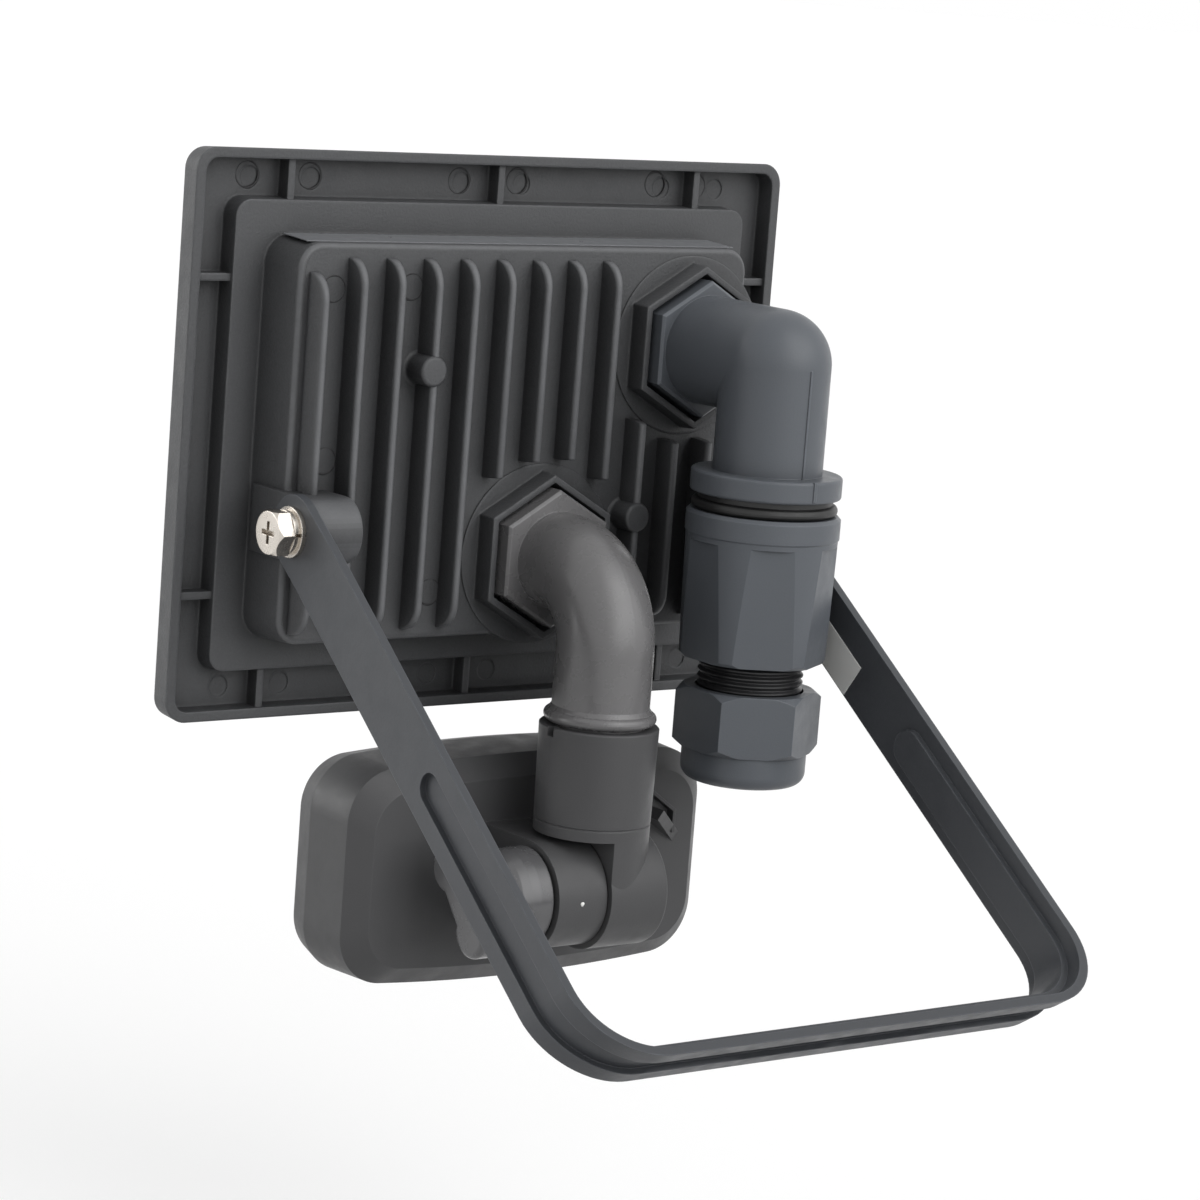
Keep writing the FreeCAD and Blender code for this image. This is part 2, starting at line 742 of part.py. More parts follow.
def coupling_body():
    x = MAINS_X
    y = MAINS_Y
    e = COUPLING_EDGE
    collar_z = COUPLING_TOP - COUPLING_COLLAR_H
    flats_z = collar_z - 2 * e
    floor_z = COUPLING_BOTTOM + COUPLING_FLOOR
    thread_z = MAINS_SPIGOT_Z + COUPLING_THREAD_END
    prof = [(0, COUPLING_TOP), (COUPLING_COLLAR_R - e, COUPLING_TOP), (COUPLING_COLLAR_R, COUPLING_TOP - e)]
    prof += [(COUPLING_COLLAR_R, collar_z), (COUPLING_R_TOP, collar_z - e / 2)]
    prof += [(COUPLING_R_LOW, COUPLING_BOTTOM + e), (COUPLING_R_LOW - e, COUPLING_BOTTOM), (0, COUPLING_BOTTOM)]
    body = turned_z(prof, x, y)
    shell = cyl_z(x, y, 2 * COUPLING_COLLAR_R, COUPLING_BOTTOM - PAST, flats_z)
    flats = hex_block_z(COUPLING_AF_LOW, COUPLING_BOTTOM - PAST, COUPLING_AF_TOP, flats_z, x, y)
    body = body.cut(shell.cut(flats))
    bore = cyl_z(x, y, COUPLING_BORE_R, floor_z, COUPLING_TOP + PAST)
    thread = cyl_z(x, y, MAINS_SPIGOT_R, thread_z, COUPLING_TOP + PAST)
    wall = cyl_z(x, y, COUPLING_BORE_R, thread_z, COUPLING_TOP).cut(thread)
    hole = cyl_z(x, y, NECK_BORE_R, COUPLING_BOTTOM - PAST, floor_z + PAST)
    return fuse([body.cut([bore, hole]), wall])


def terminal_points():
    return [MAINS_X + k * BLOCK_PITCH for k in (-1, 0, 1)]


def terminal_rows():
    return [BLOCK_TOP - TERMINAL_END, BLOCK_TOP - BLOCK_H + TERMINAL_END]


def terminal_block():
    x = MAINS_X
    y = MAINS_Y
    z0 = BLOCK_TOP - BLOCK_H
    floor_z = COUPLING_BOTTOM + COUPLING_FLOOR
    block = box(x - BLOCK_W / 2, x + BLOCK_W / 2, y - BLOCK_D / 2, y + BLOCK_D / 2, z0, BLOCK_TOP)
    feet = box(x - BLOCK_W / 2, x + BLOCK_W / 2, y - BLOCK_FOOT_D / 2, y + BLOCK_FOOT_D / 2, floor_z, z0)
    cuts = [cyl_z(x, y, NECK_BORE_R - LEAD_R, floor_z - PAST, z0)]
    for px in terminal_points():
        cuts.append(cyl_z(px, y, BLOCK_HOLE_R, floor_z - PAST, BLOCK_TOP + PAST))
        for z in terminal_rows():
            cuts.append(cyl_y(px, z, TERMINAL_R, y, y + BLOCK_D))
    return fuse([block, feet]).cut(cuts)


def terminal_screws():
    # Each screw stops above the lead below it and sits under the block's face.
    y0 = MAINS_Y + BLOCK_HOLE_R + FREE_GAP
    y1 = MAINS_Y + BLOCK_D / 2 - FREE_GAP
    half = TERMINAL_SLOT / 2
    screws = []
    for x in terminal_points():
        for z in terminal_rows():
            slot = box(x - half, x + half, y1 - TERMINAL_SLOT, y1 + PAST, z - TERMINAL_R, z + TERMINAL_R)
            screws.append(cyl_y(x, z, TERMINAL_R, y0, y1).cut(slot))
    return screws


def gland_neck():
    # Threaded neck; its thread is drawn as plain rings.
    root = NECK_R - THREAD_DEPTH
    z0 = GLAND_TOP - NECK_INSIDE
    prof = [(NECK_BORE_R, COUPLING_BOTTOM), (root, COUPLING_BOTTOM)]
    z = COUPLING_BOTTOM - THREAD_DEPTH
    while z - THREAD_PITCH > z0 + THREAD_DEPTH / 2:
        prof.append((root, z))
        prof.append((NECK_R, z - 0.35 * THREAD_PITCH))
        prof.append((NECK_R, z - 0.55 * THREAD_PITCH))
        prof.append((root, z - 0.9 * THREAD_PITCH))
        z -= THREAD_PITCH
    prof += [(root, z0), (NECK_BORE_R, z0)]
    return turned_z(prof, MAINS_X, MAINS_Y)


def gland_seal():
    z1 = GLAND_TOP - NECK_INSIDE
    z0 = GLAND_BOTTOM + GLAND_FLOOR + FREE_GAP
    r = NECK_R - THREAD_DEPTH - FREE_GAP
    prof = [(CABLE_R, z1), (r, z1), (r, GLAND_TOP - GLAND_THREAD_L), (GLAND_SEAL_R, z0), (CABLE_R, z0)]
    return turned_z(prof, MAINS_X, MAINS_Y)


def gland_nut():
    x = MAINS_X
    y = MAINS_Y
    corner = GLAND_AF / math.sqrt(3.0)
    flat = GLAND_AF / 2.0 + FREE_GAP
    e = GLAND_EDGE
    big = hex_block_z(GLAND_AF, GLAND_HEX_BOTTOM, GLAND_AF, GLAND_TOP, x, y)
    trim = turned_z([(0, GLAND_TOP), (flat, GLAND_TOP), (corner, GLAND_TOP - e), (corner, GLAND_HEX_BOTTOM + e),
                     (flat, GLAND_HEX_BOTTOM), (0, GLAND_HEX_BOTTOM)], x, y)
    skirt = [(0, GLAND_HEX_BOTTOM + PAST), (GLAND_ROUND_R, GLAND_HEX_BOTTOM + PAST)]
    skirt += arc_points(GLAND_ROUND_R - GLAND_SKIRT_R, GLAND_BOTTOM + GLAND_SKIRT_R, GLAND_SKIRT_R, 0, -90, 8)
    skirt.append((0, GLAND_BOTTOM))
    body = fuse([big.common(trim), turned_z(skirt, x, y)])
    inner = NECK_R + FREE_GAP
    floor_z = GLAND_BOTTOM + GLAND_FLOOR
    wide = GLAND_INLET_R + GLAND_INLET_EDGE
    way = [(0, GLAND_TOP + PAST), (inner, GLAND_TOP + PAST), (inner, GLAND_TOP - GLAND_THREAD_L)]
    way += [(GLAND_CONE_R, floor_z), (GLAND_INLET_R, floor_z), (GLAND_INLET_R, GLAND_BOTTOM + GLAND_INLET_EDGE)]
    way += [(wide, GLAND_BOTTOM), (wide, GLAND_BOTTOM - PAST), (0, GLAND_BOTTOM - PAST)]
    return body.cut(turned_z(way, x, y))


def sensor_elbow():
    x = SENSOR_X
    z = SENSOR_Z
    base, hole = elbow_base(x, z, ELBOW_BORE_R)
    y_bend = ELBOW_Y - ELBOW_BEND_R
    z_bend = z - ELBOW_BEND_R
    side = 2 * ELBOW_BEND_R

    def bent(r, y_start, z_end):
        straight = cyl_y(x, z, r, y_start, y_bend)
        ring = Part.makeTorus(ELBOW_BEND_R, r, V(x, y_bend, z_bend), V(1, 0, 0))
        quarter = box(x - side, x + side, y_bend, y_bend + side, z_bend, z_bend + side)
        drop = cyl_z(x, ELBOW_Y, r, z_end, z_bend)
        return [straight, ring.common(quarter), drop]

    prof = [(ELBOW_R - SINK, BEAD_TOP + BEAD_ROUND), (ELBOW_R + SINK, BEAD_TOP)]
    prof += arc_points(BEAD_R - BEAD_ROUND, (BEAD_TOP + BEAD_BOTTOM) / 2.0, BEAD_ROUND, 80, -80, 8)
    prof += [(SWIVEL_R, BEAD_BOTTOM), (ELBOW_BORE_R - SINK, BEAD_BOTTOM)]
    bead = turned_z(prof, x, ELBOW_Y)
    spigot = cyl_z(x, ELBOW_Y, SWIVEL_R, SWIVEL_Z, BEAD_BOTTOM + SINK)
    body = fuse(base + bent(ELBOW_R, FLANGE_TOP - SINK, BEAD_BOTTOM + SINK) + [bead, spigot])
    return body.cut([hole] + bent(ELBOW_BORE_R, FLANGE_TOP - PAST, SWIVEL_Z - PAST))


def sensor_sleeve():
    # Round sleeve that runs down into a knuckle across its right half.
    x = SENSOR_X
    y = ELBOW_Y
    g = SLEEVE_GROOVE
    split = KNUCKLE_SPLIT_X - FREE_GAP / 2
    slope = (SLEEVE_R_TOP - SLEEVE_R_LOW) / (SLEEVE_TOP - SLEEVE_BOTTOM)

    def r_at(z):
        return SLEEVE_R_LOW + slope * (z - SLEEVE_BOTTOM)

    prof = [(0, SLEEVE_TOP), (SLEEVE_R_TOP - g, SLEEVE_TOP), (SLEEVE_R_TOP, SLEEVE_TOP - g)]
    prof += [(r_at(SLEEVE_PART_Z + g), SLEEVE_PART_Z + g), (r_at(SLEEVE_PART_Z) - g, SLEEVE_PART_Z)]
    prof += [(r_at(SLEEVE_PART_Z - g), SLEEVE_PART_Z - g), (SLEEVE_R_LOW, SLEEVE_BOTTOM + g)]
    prof += [(SLEEVE_R_LOW - g, SLEEVE_BOTTOM), (0, SLEEVE_BOTTOM)]
    body = turned_z(prof, x, y)
    tongue = cyl_z(x, y, SLEEVE_R_LOW, TILT_Z, SLEEVE_BOTTOM + PAST)
    tongue = tongue.cut(box(split, split + KNUCKLE_R * 3, 0, 2 * ELBOW_Y, TILT_Z - PAST, SLEEVE_BOTTOM))
    knuckle = cyl_x(TILT_Y, TILT_Z, KNUCKLE_R, KNUCKLE_RIGHT_X, split)
    outer = edges_where(knuckle, lambda e: e.BoundBox.XMax < KNUCKLE_RIGHT_X + 0.01)
    body = fuse([body, tongue, knuckle.makeFillet(KNUCKLE_EDGE, outer)])
    bore = cyl_z(x, y, SWIVEL_R + RUN_FIT, SLEEVE_BOTTOM + SLEEVE_FLOOR, SLEEVE_TOP + PAST)
    wire_way = cyl_z(x, y, WIRE_WAY_R, SLEEVE_BOTTOM - PAST, SLEEVE_TOP)
    wire_way = wire_way.cut(box(-HEAD_W, KNUCKLE_SPLIT_X, 0, 2 * ELBOW_Y, SLEEVE_BOTTOM - 2 * PAST, SLEEVE_BOTTOM))
    bolt_way = cyl_x(TILT_Y, TILT_Z, TILT_BOLT_R + RUN_FIT, KNUCKLE_RIGHT_X - PAST, split + PAST)
    pocket = cyl_x(TILT_Y, TILT_Z, TILT_POCKET_R, KNUCKLE_RIGHT_X - PAST, KNUCKLE_RIGHT_X + TILT_HEAD_IN + TILT_HEAD_H)
    half = SLEEVE_NOTCH_W / 2
    notch = box(x + SWIVEL_R + PAST, x + SLEEVE_R_TOP + PAST, y - half, y + half,
                SLEEVE_TOP - SLEEVE_NOTCH_H, SLEEVE_TOP + PAST)
    return body.cut([bore, wire_way, bolt_way, pocket, notch])


def bowed_wire(w, h, r, bow_r, y, cx, cz):
    # Rounded rectangle whose long sides are arcs of radius bow_r.
    kx = w / 2.0 - r
    big = h / 2.0 - bow_r
    kz = big + math.sqrt((bow_r - r) ** 2 - kx ** 2)
    ux = kx / (bow_r - r)
    uz = (kz - big) / (bow_r - r)
    mid = math.radians(45) + math.acos(uz) / -2.0
    mx = kx + r * math.cos(mid)
    mz = kz + r * math.sin(mid)
    tx = bow_r * ux
    tz = big + bow_r * uz
    side = w / 2.0

    def p(x, z):
        return V(cx + x, y, cz + z)

    edges = [Part.Arc(p(-tx, tz), p(0, h / 2.0), p(tx, tz)).toShape()]
    edges.append(Part.Arc(p(tx, tz), p(mx, mz), p(side, kz)).toShape())
    edges.append(Part.makeLine(p(side, kz), p(side, -kz)))
    edges.append(Part.Arc(p(side, -kz), p(mx, -mz), p(tx, -tz)).toShape())
    edges.append(Part.Arc(p(tx, -tz), p(0, -h / 2.0), p(-tx, -tz)).toShape())
    edges.append(Part.Arc(p(-tx, -tz), p(-mx, -mz), p(-side, -kz)).toShape())
    edges.append(Part.makeLine(p(-side, -kz), p(-side, kz)))
    edges.append(Part.Arc(p(-side, kz), p(-mx, mz), p(-tx, tz)).toShape())
    return Part.Wire(edges)


def head_wire(y, inset):
    return bowed_wire(HEAD_W - 2 * inset, HEAD_H - 2 * inset, HEAD_R - inset * 0.5, HEAD_BOW_R, y, HEAD_X, HEAD_Z)


def head_block(y0, y1, in0, in1):
    return Part.makeLoft([head_wire(y0, in0), head_wire(y1, in1)], True, True)

def tilt_neck():
    # Knuckle on the head's back: as high as its round end, with flat sides running into the shell.
    right = KNUCKLE_SPLIT_X + FREE_GAP / 2
    left = KNUCKLE_LEFT_X
    r = HEAD_KNUCKLE_R
    return [cyl_x(TILT_Y, TILT_Z, r, right, left), box(right, left, HEAD_BACK_Y - SINK, TILT_Y, TILT_Z - r, TILT_Z + r)]


def back_catch():
    # Small moulded catch on the head's back: a rising bar with a low wall beside it.
    y = HEAD_BACK_Y - SINK
    pts = [V(0, y, 0), V(0, HEAD_BACK_Y, 0), V(CATCH_L, HEAD_BACK_Y + CATCH_RISE, 0), V(CATCH_L, y, 0), V(0, y, 0)]
    bar = Part.Face(Part.makePolygon(pts)).extrude(V(0, 0, CATCH_T))
    bar.rotate(V(0, 0, 0), V(0, 1, 0), -CATCH_TURN)
    bar.translate(V(CATCH_X, 0, CATCH_Z))
    y1 = HEAD_BACK_Y + CATCH_WALL_H
    t = CATCH_WALL
    upright = box(CATCH_WALL_X - t, CATCH_WALL_X, y, y1, CATCH_Z + CATCH_T, CATCH_WALL_Z)
    roof = box(0, CATCH_L - t, y, y1, -t, 0)
    roof.rotate(V(0, 0, 0), V(0, 1, 0), -CATCH_TURN)
    roof.translate(V(CATCH_WALL_X - t, 0, CATCH_WALL_Z))
    return [bar, upright, roof]


def sensor_back_shell():
    t = SHELL_T
    sides = head_block(HEAD_SEAM_Y, HEAD_CHAMFER_Y, -HEAD_FLARE, 0.0)
    slope = head_block(HEAD_CHAMFER_Y, HEAD_BACK_Y, 0.0, HEAD_CHAMFER)
    inner = fuse([head_block(HEAD_SEAM_Y - PAST, HEAD_CHAMFER_Y, t - HEAD_FLARE, t),
                  head_block(HEAD_CHAMFER_Y, HEAD_BACK_Y - t, t, HEAD_CHAMFER + t / 2)])
    body = fuse([sides, slope] + tilt_neck() + back_catch())
    x0 = KNUCKLE_SPLIT_X - PAST
    return body.cut([inner, cyl_x(TILT_Y, TILT_Z, TILT_BOLT_R + RUN_FIT, x0, KNUCKLE_LEFT_X + PAST)])


def sensor_front_shell():
    # Front half of the snap-together head, with a lip inside the seam and a window for the lens.
    t = SHELL_T
    outer = head_block(HEAD_FRONT_Y, HEAD_SEAM_Y, HEAD_FRONT_IN, -HEAD_FLARE)
    edge = edges_where(outer, lambda e: e.BoundBox.YMax < HEAD_FRONT_Y + 0.01)
    outer = outer.makeFillet(HEAD_FRONT_R, edge)
    inner = head_block(HEAD_FRONT_Y + t, HEAD_SEAM_Y + PAST, HEAD_FRONT_IN + t, t - HEAD_FLARE)
    window = rounded_block(LENS_W, LENS_H, LENS_R, HEAD_FRONT_Y - PAST, HEAD_FRONT_Y + t + PAST, 0.0, HEAD_X, HEAD_Z)
    side = t - HEAD_FLARE + LIP_GAP
    y1 = HEAD_SEAM_Y + LIP_H
    lip = head_block(HEAD_SEAM_Y - 2 * PAST, y1, side, side)
    lip = lip.cut(head_block(HEAD_SEAM_Y - 3 * PAST, y1 + PAST, side + LIP_T, side + LIP_T))
    return fuse([outer.cut([inner, window]), lip])


def lens_solid(inset, y0):
    # Part of a horizontal drum: curved across the width, straight up and down.
    w = LENS_W - 2 * LENS_GAP - 2 * inset
    h = LENS_H - 2 * LENS_GAP - 2 * inset
    rise = LENS_RISE + SHELL_T - inset
    chord = w / 2.0
    r = (chord * chord + rise * rise) / (2 * rise)
    drum = Part.makeCylinder(r, h, V(HEAD_X, y0 - rise + r, HEAD_Z - h / 2.0), V(0, 0, 1))
    corner = LENS_R - LENS_GAP - inset
    return drum.common(rounded_block(w, h, corner, y0 - rise - PAST, y0, 0.0, HEAD_X, HEAD_Z))


def pir_lens():
    y0 = HEAD_FRONT_Y + SHELL_T
    w = LENS_W + 2 * LENS_BRIM
    h = LENS_H + 2 * LENS_BRIM
    hole_w = LENS_W - 2 * LENS_GAP - 2 * LENS_T
    hole_h = LENS_H - 2 * LENS_GAP - 2 * LENS_T
    corner = LENS_R - LENS_GAP - LENS_T
    brim = rounded_block(w, h, LENS_R, y0, y0 + LENS_BRIM_T, 0.0, HEAD_X, HEAD_Z)
    hole = rounded_block(hole_w, hole_h, corner, y0 - PAST, y0 + LENS_BRIM_T + PAST, 0.0, HEAD_X, HEAD_Z)
    dome = lens_solid(0.0, y0).cut(lens_solid(LENS_T, y0 + 0.01))
    return fuse([dome, brim.cut(hole)])


def sensor_board():
    y0 = HEAD_FRONT_Y + SHELL_T + LENS_BRIM_T
    w = LENS_W + 2 * LENS_BRIM
    h = LENS_H + 2 * LENS_BRIM
    return rounded_block(w, h, LENS_R, y0, y0 + SENSOR_BOARD_T, 0.0, HEAD_X, HEAD_Z)


def pyro_sensor():
    # Round can with a small square window, standing on the board inside the lens.
    y1 = HEAD_FRONT_Y + SHELL_T + LENS_BRIM_T
    can = fuse([cyl_y(HEAD_X, HEAD_Z, PYRO_R, y1 - PYRO_H, y1), cyl_y(HEAD_X, HEAD_Z, PYRO_RIM_R, y1 - SINK, y1)])
    half = PYRO_R / 2 - SINK
    y0 = y1 - PYRO_H
    return can.cut(box(HEAD_X - half, HEAD_X + half, y0 - PAST, y0 + SINK, HEAD_Z - half, HEAD_Z + half))


def board_back():
    return HEAD_FRONT_Y + SHELL_T + LENS_BRIM_T + SENSOR_BOARD_T


def relay():
    y0 = board_back()
    return rounded_block(RELAY_W, RELAY_H, 1.0, y0, y0 + RELAY_T, 0.0, HEAD_X + RELAY_X, HEAD_Z)


def capacitors():
    y0 = board_back()
    x = HEAD_X + CAPACITOR_X
    return [cyl_y(x, HEAD_Z + s * CAPACITOR_Z, CAPACITOR_R, y0, y0 + CAPACITOR_L) for s in (1, -1)]


def tilt_bolt():
    x0 = KNUCKLE_RIGHT_X + TILT_HEAD_IN
    x1 = x0 + TILT_HEAD_H
    end = KNUCKLE_LEFT_X + KNOB_GAP + WING_X + TILT_THREAD_L
    return fuse([hex_block_x(TILT_HEAD_AF, x0, x1, TILT_Y, TILT_Z), cyl_x(TILT_Y, TILT_Z, TILT_BOLT_R, x1 - SINK, end)])


def knob_washer():
    x0 = KNUCKLE_LEFT_X
    ring = cyl_x(TILT_Y, TILT_Z, KNOB_R - WASHER_INSET, x0, x0 + KNOB_GAP)
    return ring.cut(cyl_x(TILT_Y, TILT_Z, TILT_BOLT_R, x0 - PAST, x0 + KNOB_GAP + PAST))


def wing_knob():
    # Round hub with a domed top and a two-lobed wing across it.
    x0 = KNUCKLE_LEFT_X + KNOB_GAP
    x1 = x0 + KNOB_HUB
    prof = [(0, x0), (KNOB_R, x0)]
    for k in range(9):
        t = math.radians(90.0 * k / 8)
        prof.append((KNOB_R * math.cos(t), x1 + KNOB_DOME * math.sin(t)))
    hub = turned_x(prof, TILT_Y, TILT_Z)
    w0 = x0 + WING_X
    w1 = w0 + WING_T
    wing = [cyl_x(s * WING_REACH, 0, WING_TIP_R, w0, w1) for s in (1, -1)]
    wing.append(box(w0, w1, -WING_REACH, WING_REACH, -WING_HALF, WING_HALF))
    wing = fuse(wing)
    wing = wing.makeFillet(WING_EDGE, edges_where(wing, lambda e: e.BoundBox.XMin > w1 - 0.01))
    wing.rotate(V(0, 0, 0), V(1, 0, 0), WING_ANGLE)
    wing.translate(V(0, TILT_Y, TILT_Z))
    bore = cyl_x(TILT_Y, TILT_Z, TILT_BOLT_R + RUN_FIT, x0 - PAST, w0 + TILT_THREAD_L + SINK)
    return fuse([hub, wing]).cut(bore)


def web_depth():
    return ARM_L * math.cos(math.radians(SWING - WEB_LEAN))


def web_side():
    return ARM_L * math.sin(math.radians(SWING - WEB_LEAN))


def u_solid(off, top):
    # Inside of the U, off smaller than its outer faces; X across, arms up, bend lines along Y.
    x0 = ARM_X - off
    x1 = ARM_X + SPLAY - off
    z1 = off - web_depth()
    y0 = -2 * BAR_W
    pts = [V(-x0, y0, top), V(-x0, y0, -PAD_L), V(-x1, y0, z1), V(x1, y0, z1), V(x0, y0, -PAD_L),
           V(x0, y0, top), V(-x0, y0, top)]
    body = Part.Face(Part.makePolygon(pts)).extrude(V(0, web_side() + 4 * BAR_W, 0))
    corners = edges_where(body, lambda e: e.BoundBox.ZMax < z1 + 0.01 and e.BoundBox.XLength < 0.01)
    return body.makeFillet(BEND_R - off, corners)


def u_skin(outside, inside):
    skin = u_solid(outside, BAR_W).cut(u_solid(inside, BAR_W + PAST))
    skin.rotate(V(0, 0, 0), V(1, 0, 0), WEB_LEAN)
    return skin


def side_strip(half, start):
    # Outline of the bar seen from the side: a strip along the arms with a round upper end.
    side = 2 * ARM_X
    strip = box(-side, side, -half, half, -ARM_L - 2 * BAR_W, -start)
    strip = strip.fuse(cyl_x(0, -start, half, -side, side))
    strip.rotate(V(0, 0, 0), V(1, 0, 0), SWING)
    return strip


def to_pivot(shape):
    shape.translate(V(0, PIVOT_Y, PIVOT_Z))
    return shape


def web_holes():
    # One round hole in the middle of the web and a slot on each side.
    y = web_side()
    r = SLOT_W / 2.0
    z0 = -web_depth() - PAST
    z1 = -web_depth() + BAR_T + BEAD_DEPTH + PAST
    holes = [cyl_z(0, y, CENTRE_HOLE_R, z0, z1)]
    for s in (1, -1):
        x0, x1 = span(s, SLOT_IN + r, SLOT_OUT - r)
        holes += [cyl_z(x0, y, r, z0, z1), cyl_z(x1, y, r, z0, z1), box(x0, x1, y - r, y + r, z0, z1)]
    for hole in holes:
        hole.rotate(V(0, 0, 0), V(1, 0, 0), WEB_LEAN)
    return holes


def bracket():
    # Flat bar bent to a skewed U; a pressed bead stiffens the arms' lower parts and the web.
    bar = u_skin(0.0, BAR_T).common(side_strip(BAR_W / 2.0, 0.0))
    bead = u_skin(BAR_T - SINK, BAR_T + BEAD_DEPTH).common(side_strip(BEAD_W / 2.0, BEAD_START))
    groove = u_skin(-PAST, BEAD_DEPTH).common(side_strip(BEAD_W / 2.0 - BEAD_WALL, BEAD_START))
    pivot = cyl_x(0, 0, BOLT_R + RUN_FIT, -ARM_X - PAST, ARM_X + PAST)
    return to_pivot(fuse([bar, bead]).cut([groove, pivot] + web_holes()))


def arm_label():
    # Blank film on the inner face of the arm beside the cable gland.
    y0 = ARM_LABEL_EDGE - BAR_W / 2.0
    place = box(-2 * ARM_X, 0, y0, y0 + ARM_LABEL_W, -ARM_LABEL_S - ARM_LABEL_L, -ARM_LABEL_S)
    place.rotate(V(0, 0, 0), V(1, 0, 0), SWING)
    return to_pivot(u_skin(BAR_T, BAR_T + LABEL_T).common(place))


def washer_ring(r, x0, x1):
    ring = cyl_x(PIVOT_Y, PIVOT_Z, r, x0, x1)
    return ring.cut(cyl_x(PIVOT_Y, PIVOT_Z, BOLT_R, x0 - PAST, x1 + PAST))


def flat_washers():
    return [washer_ring(WASHER_R, *span(s, ARM_X, ARM_X + WASHER_T)) for s in (1, -1)]


def spring_washers():
    base = ARM_X + WASHER_T
    half = SPRING_CUT / 2
    rings = []
    for s in (1, -1):
        x0, x1 = span(s, base, base + SPRING_T)
        gap = box(x0 - PAST, x1 + PAST, PIVOT_Y, PIVOT_Y + 2 * SPRING_R, PIVOT_Z - half, PIVOT_Z + half)
        rings.append(washer_ring(SPRING_R, x0, x1).cut(gap))
    return rings


def pivot_bolts():
    base = ARM_X + WASHER_T + SPRING_T
    corner = BOLT_HEAD_AF / math.sqrt(3.0)
    long = BOLT_CROSS_L / 2
    thin = BOLT_CROSS / 2
    bolts = []
    for s in (1, -1):
        x0, x1 = span(s, base, base + BOLT_HEAD_H)
        low = s * base
        top = s * (base + BOLT_HEAD_H)
        head = hex_block_x(BOLT_HEAD_AF, x0, x1, PIVOT_Y, PIVOT_Z)
        head = head.common(turned_x([(0, low), (corner, low), (corner, top - s * BOLT_EDGE),
                                     (BOLT_HEAD_AF / 2.0, top), (0, top)], PIVOT_Y, PIVOT_Z))
        x0, x1 = sorted((top - s * BOLT_CROSS_DEPTH, top + s * PAST))
        cross = [box(x0, x1, PIVOT_Y - long, PIVOT_Y + long, PIVOT_Z - thin, PIVOT_Z + thin),
                 box(x0, x1, PIVOT_Y - thin, PIVOT_Y + thin, PIVOT_Z - long, PIVOT_Z + long)]
        x0, x1 = span(s, ARM_X - BAR_T - LUG_L + THREAD_END + PAST, base + SINK)
        bolts.append(fuse([head.cut(cross), cyl_x(PIVOT_Y, PIVOT_Z, BOLT_R, x0, x1)]))
    return bolts


def lead(points):
    curve = Part.BSplineCurve()
    curve.interpolate([V(*p) for p in points])
    path = Part.Wire([curve.toShape()])
    start = curve.tangent(curve.FirstParameter)[0]
    section = Part.Wire([Part.makeCircle(LEAD_R, V(*points[0]), start)])
    return path.makePipeShell([section], True, False)


def supply_leads():
    # Three insulated leads from the terminal block up through the elbow to the light board.
    leads = []
    y_end = CAVITY_Y - BOARD_T - LEAD_END
    for k, wide in zip((-1, 0, 1), terminal_points()):
        near = MAINS_X + k * LEAD_PITCH
        mid = (wide + near) / 2.0
        leads.append(lead([(wide, MAINS_Y, BLOCK_TOP - 1.5), (wide, MAINS_Y, MAINS_Z - 22.0),
                           (mid, MAINS_Y - 2.0, MAINS_Z - 7.0), (near, MAINS_Y - 10.0, MAINS_Z - 0.5),
                           (near, FLANGE_TOP, MAINS_Z), (near, y_end, MAINS_Z)]))
    return leads


def sensor_leads():
    # Three thinner leads from the board through the elbow down into the swivel.
    leads = []
    y_bend = ELBOW_Y - ELBOW_BEND_R
    z_bend = SENSOR_Z - ELBOW_BEND_R
    q = ELBOW_BEND_R * math.sqrt(0.5)
    for k in (-1, 0, 1):
        x = SENSOR_X + k * LEAD_PITCH
        leads.append(lead([(x, ELBOW_Y, SWIVEL_Z + PAST), (x, ELBOW_Y, z_bend), (x, y_bend + q, z_bend + q),
                           (x, y_bend, SENSOR_Z), (x, CAVITY_Y - BOARD_T - LEAD_END, SENSOR_Z)]))
    return leads


def frame_shift():
    # The finished part has its origin on the axis of the fixing hole, at the floor of the web's recess.
    a = math.radians(SWING)
    b = math.radians(WEB_LEAN)
    y = PIVOT_Y + ARM_L * math.sin(a) - BEAD_DEPTH * math.sin(b)
    z = PIVOT_Z - ARM_L * math.cos(a) + BEAD_DEPTH * math.cos(b)
    return V(0, -y, -z)


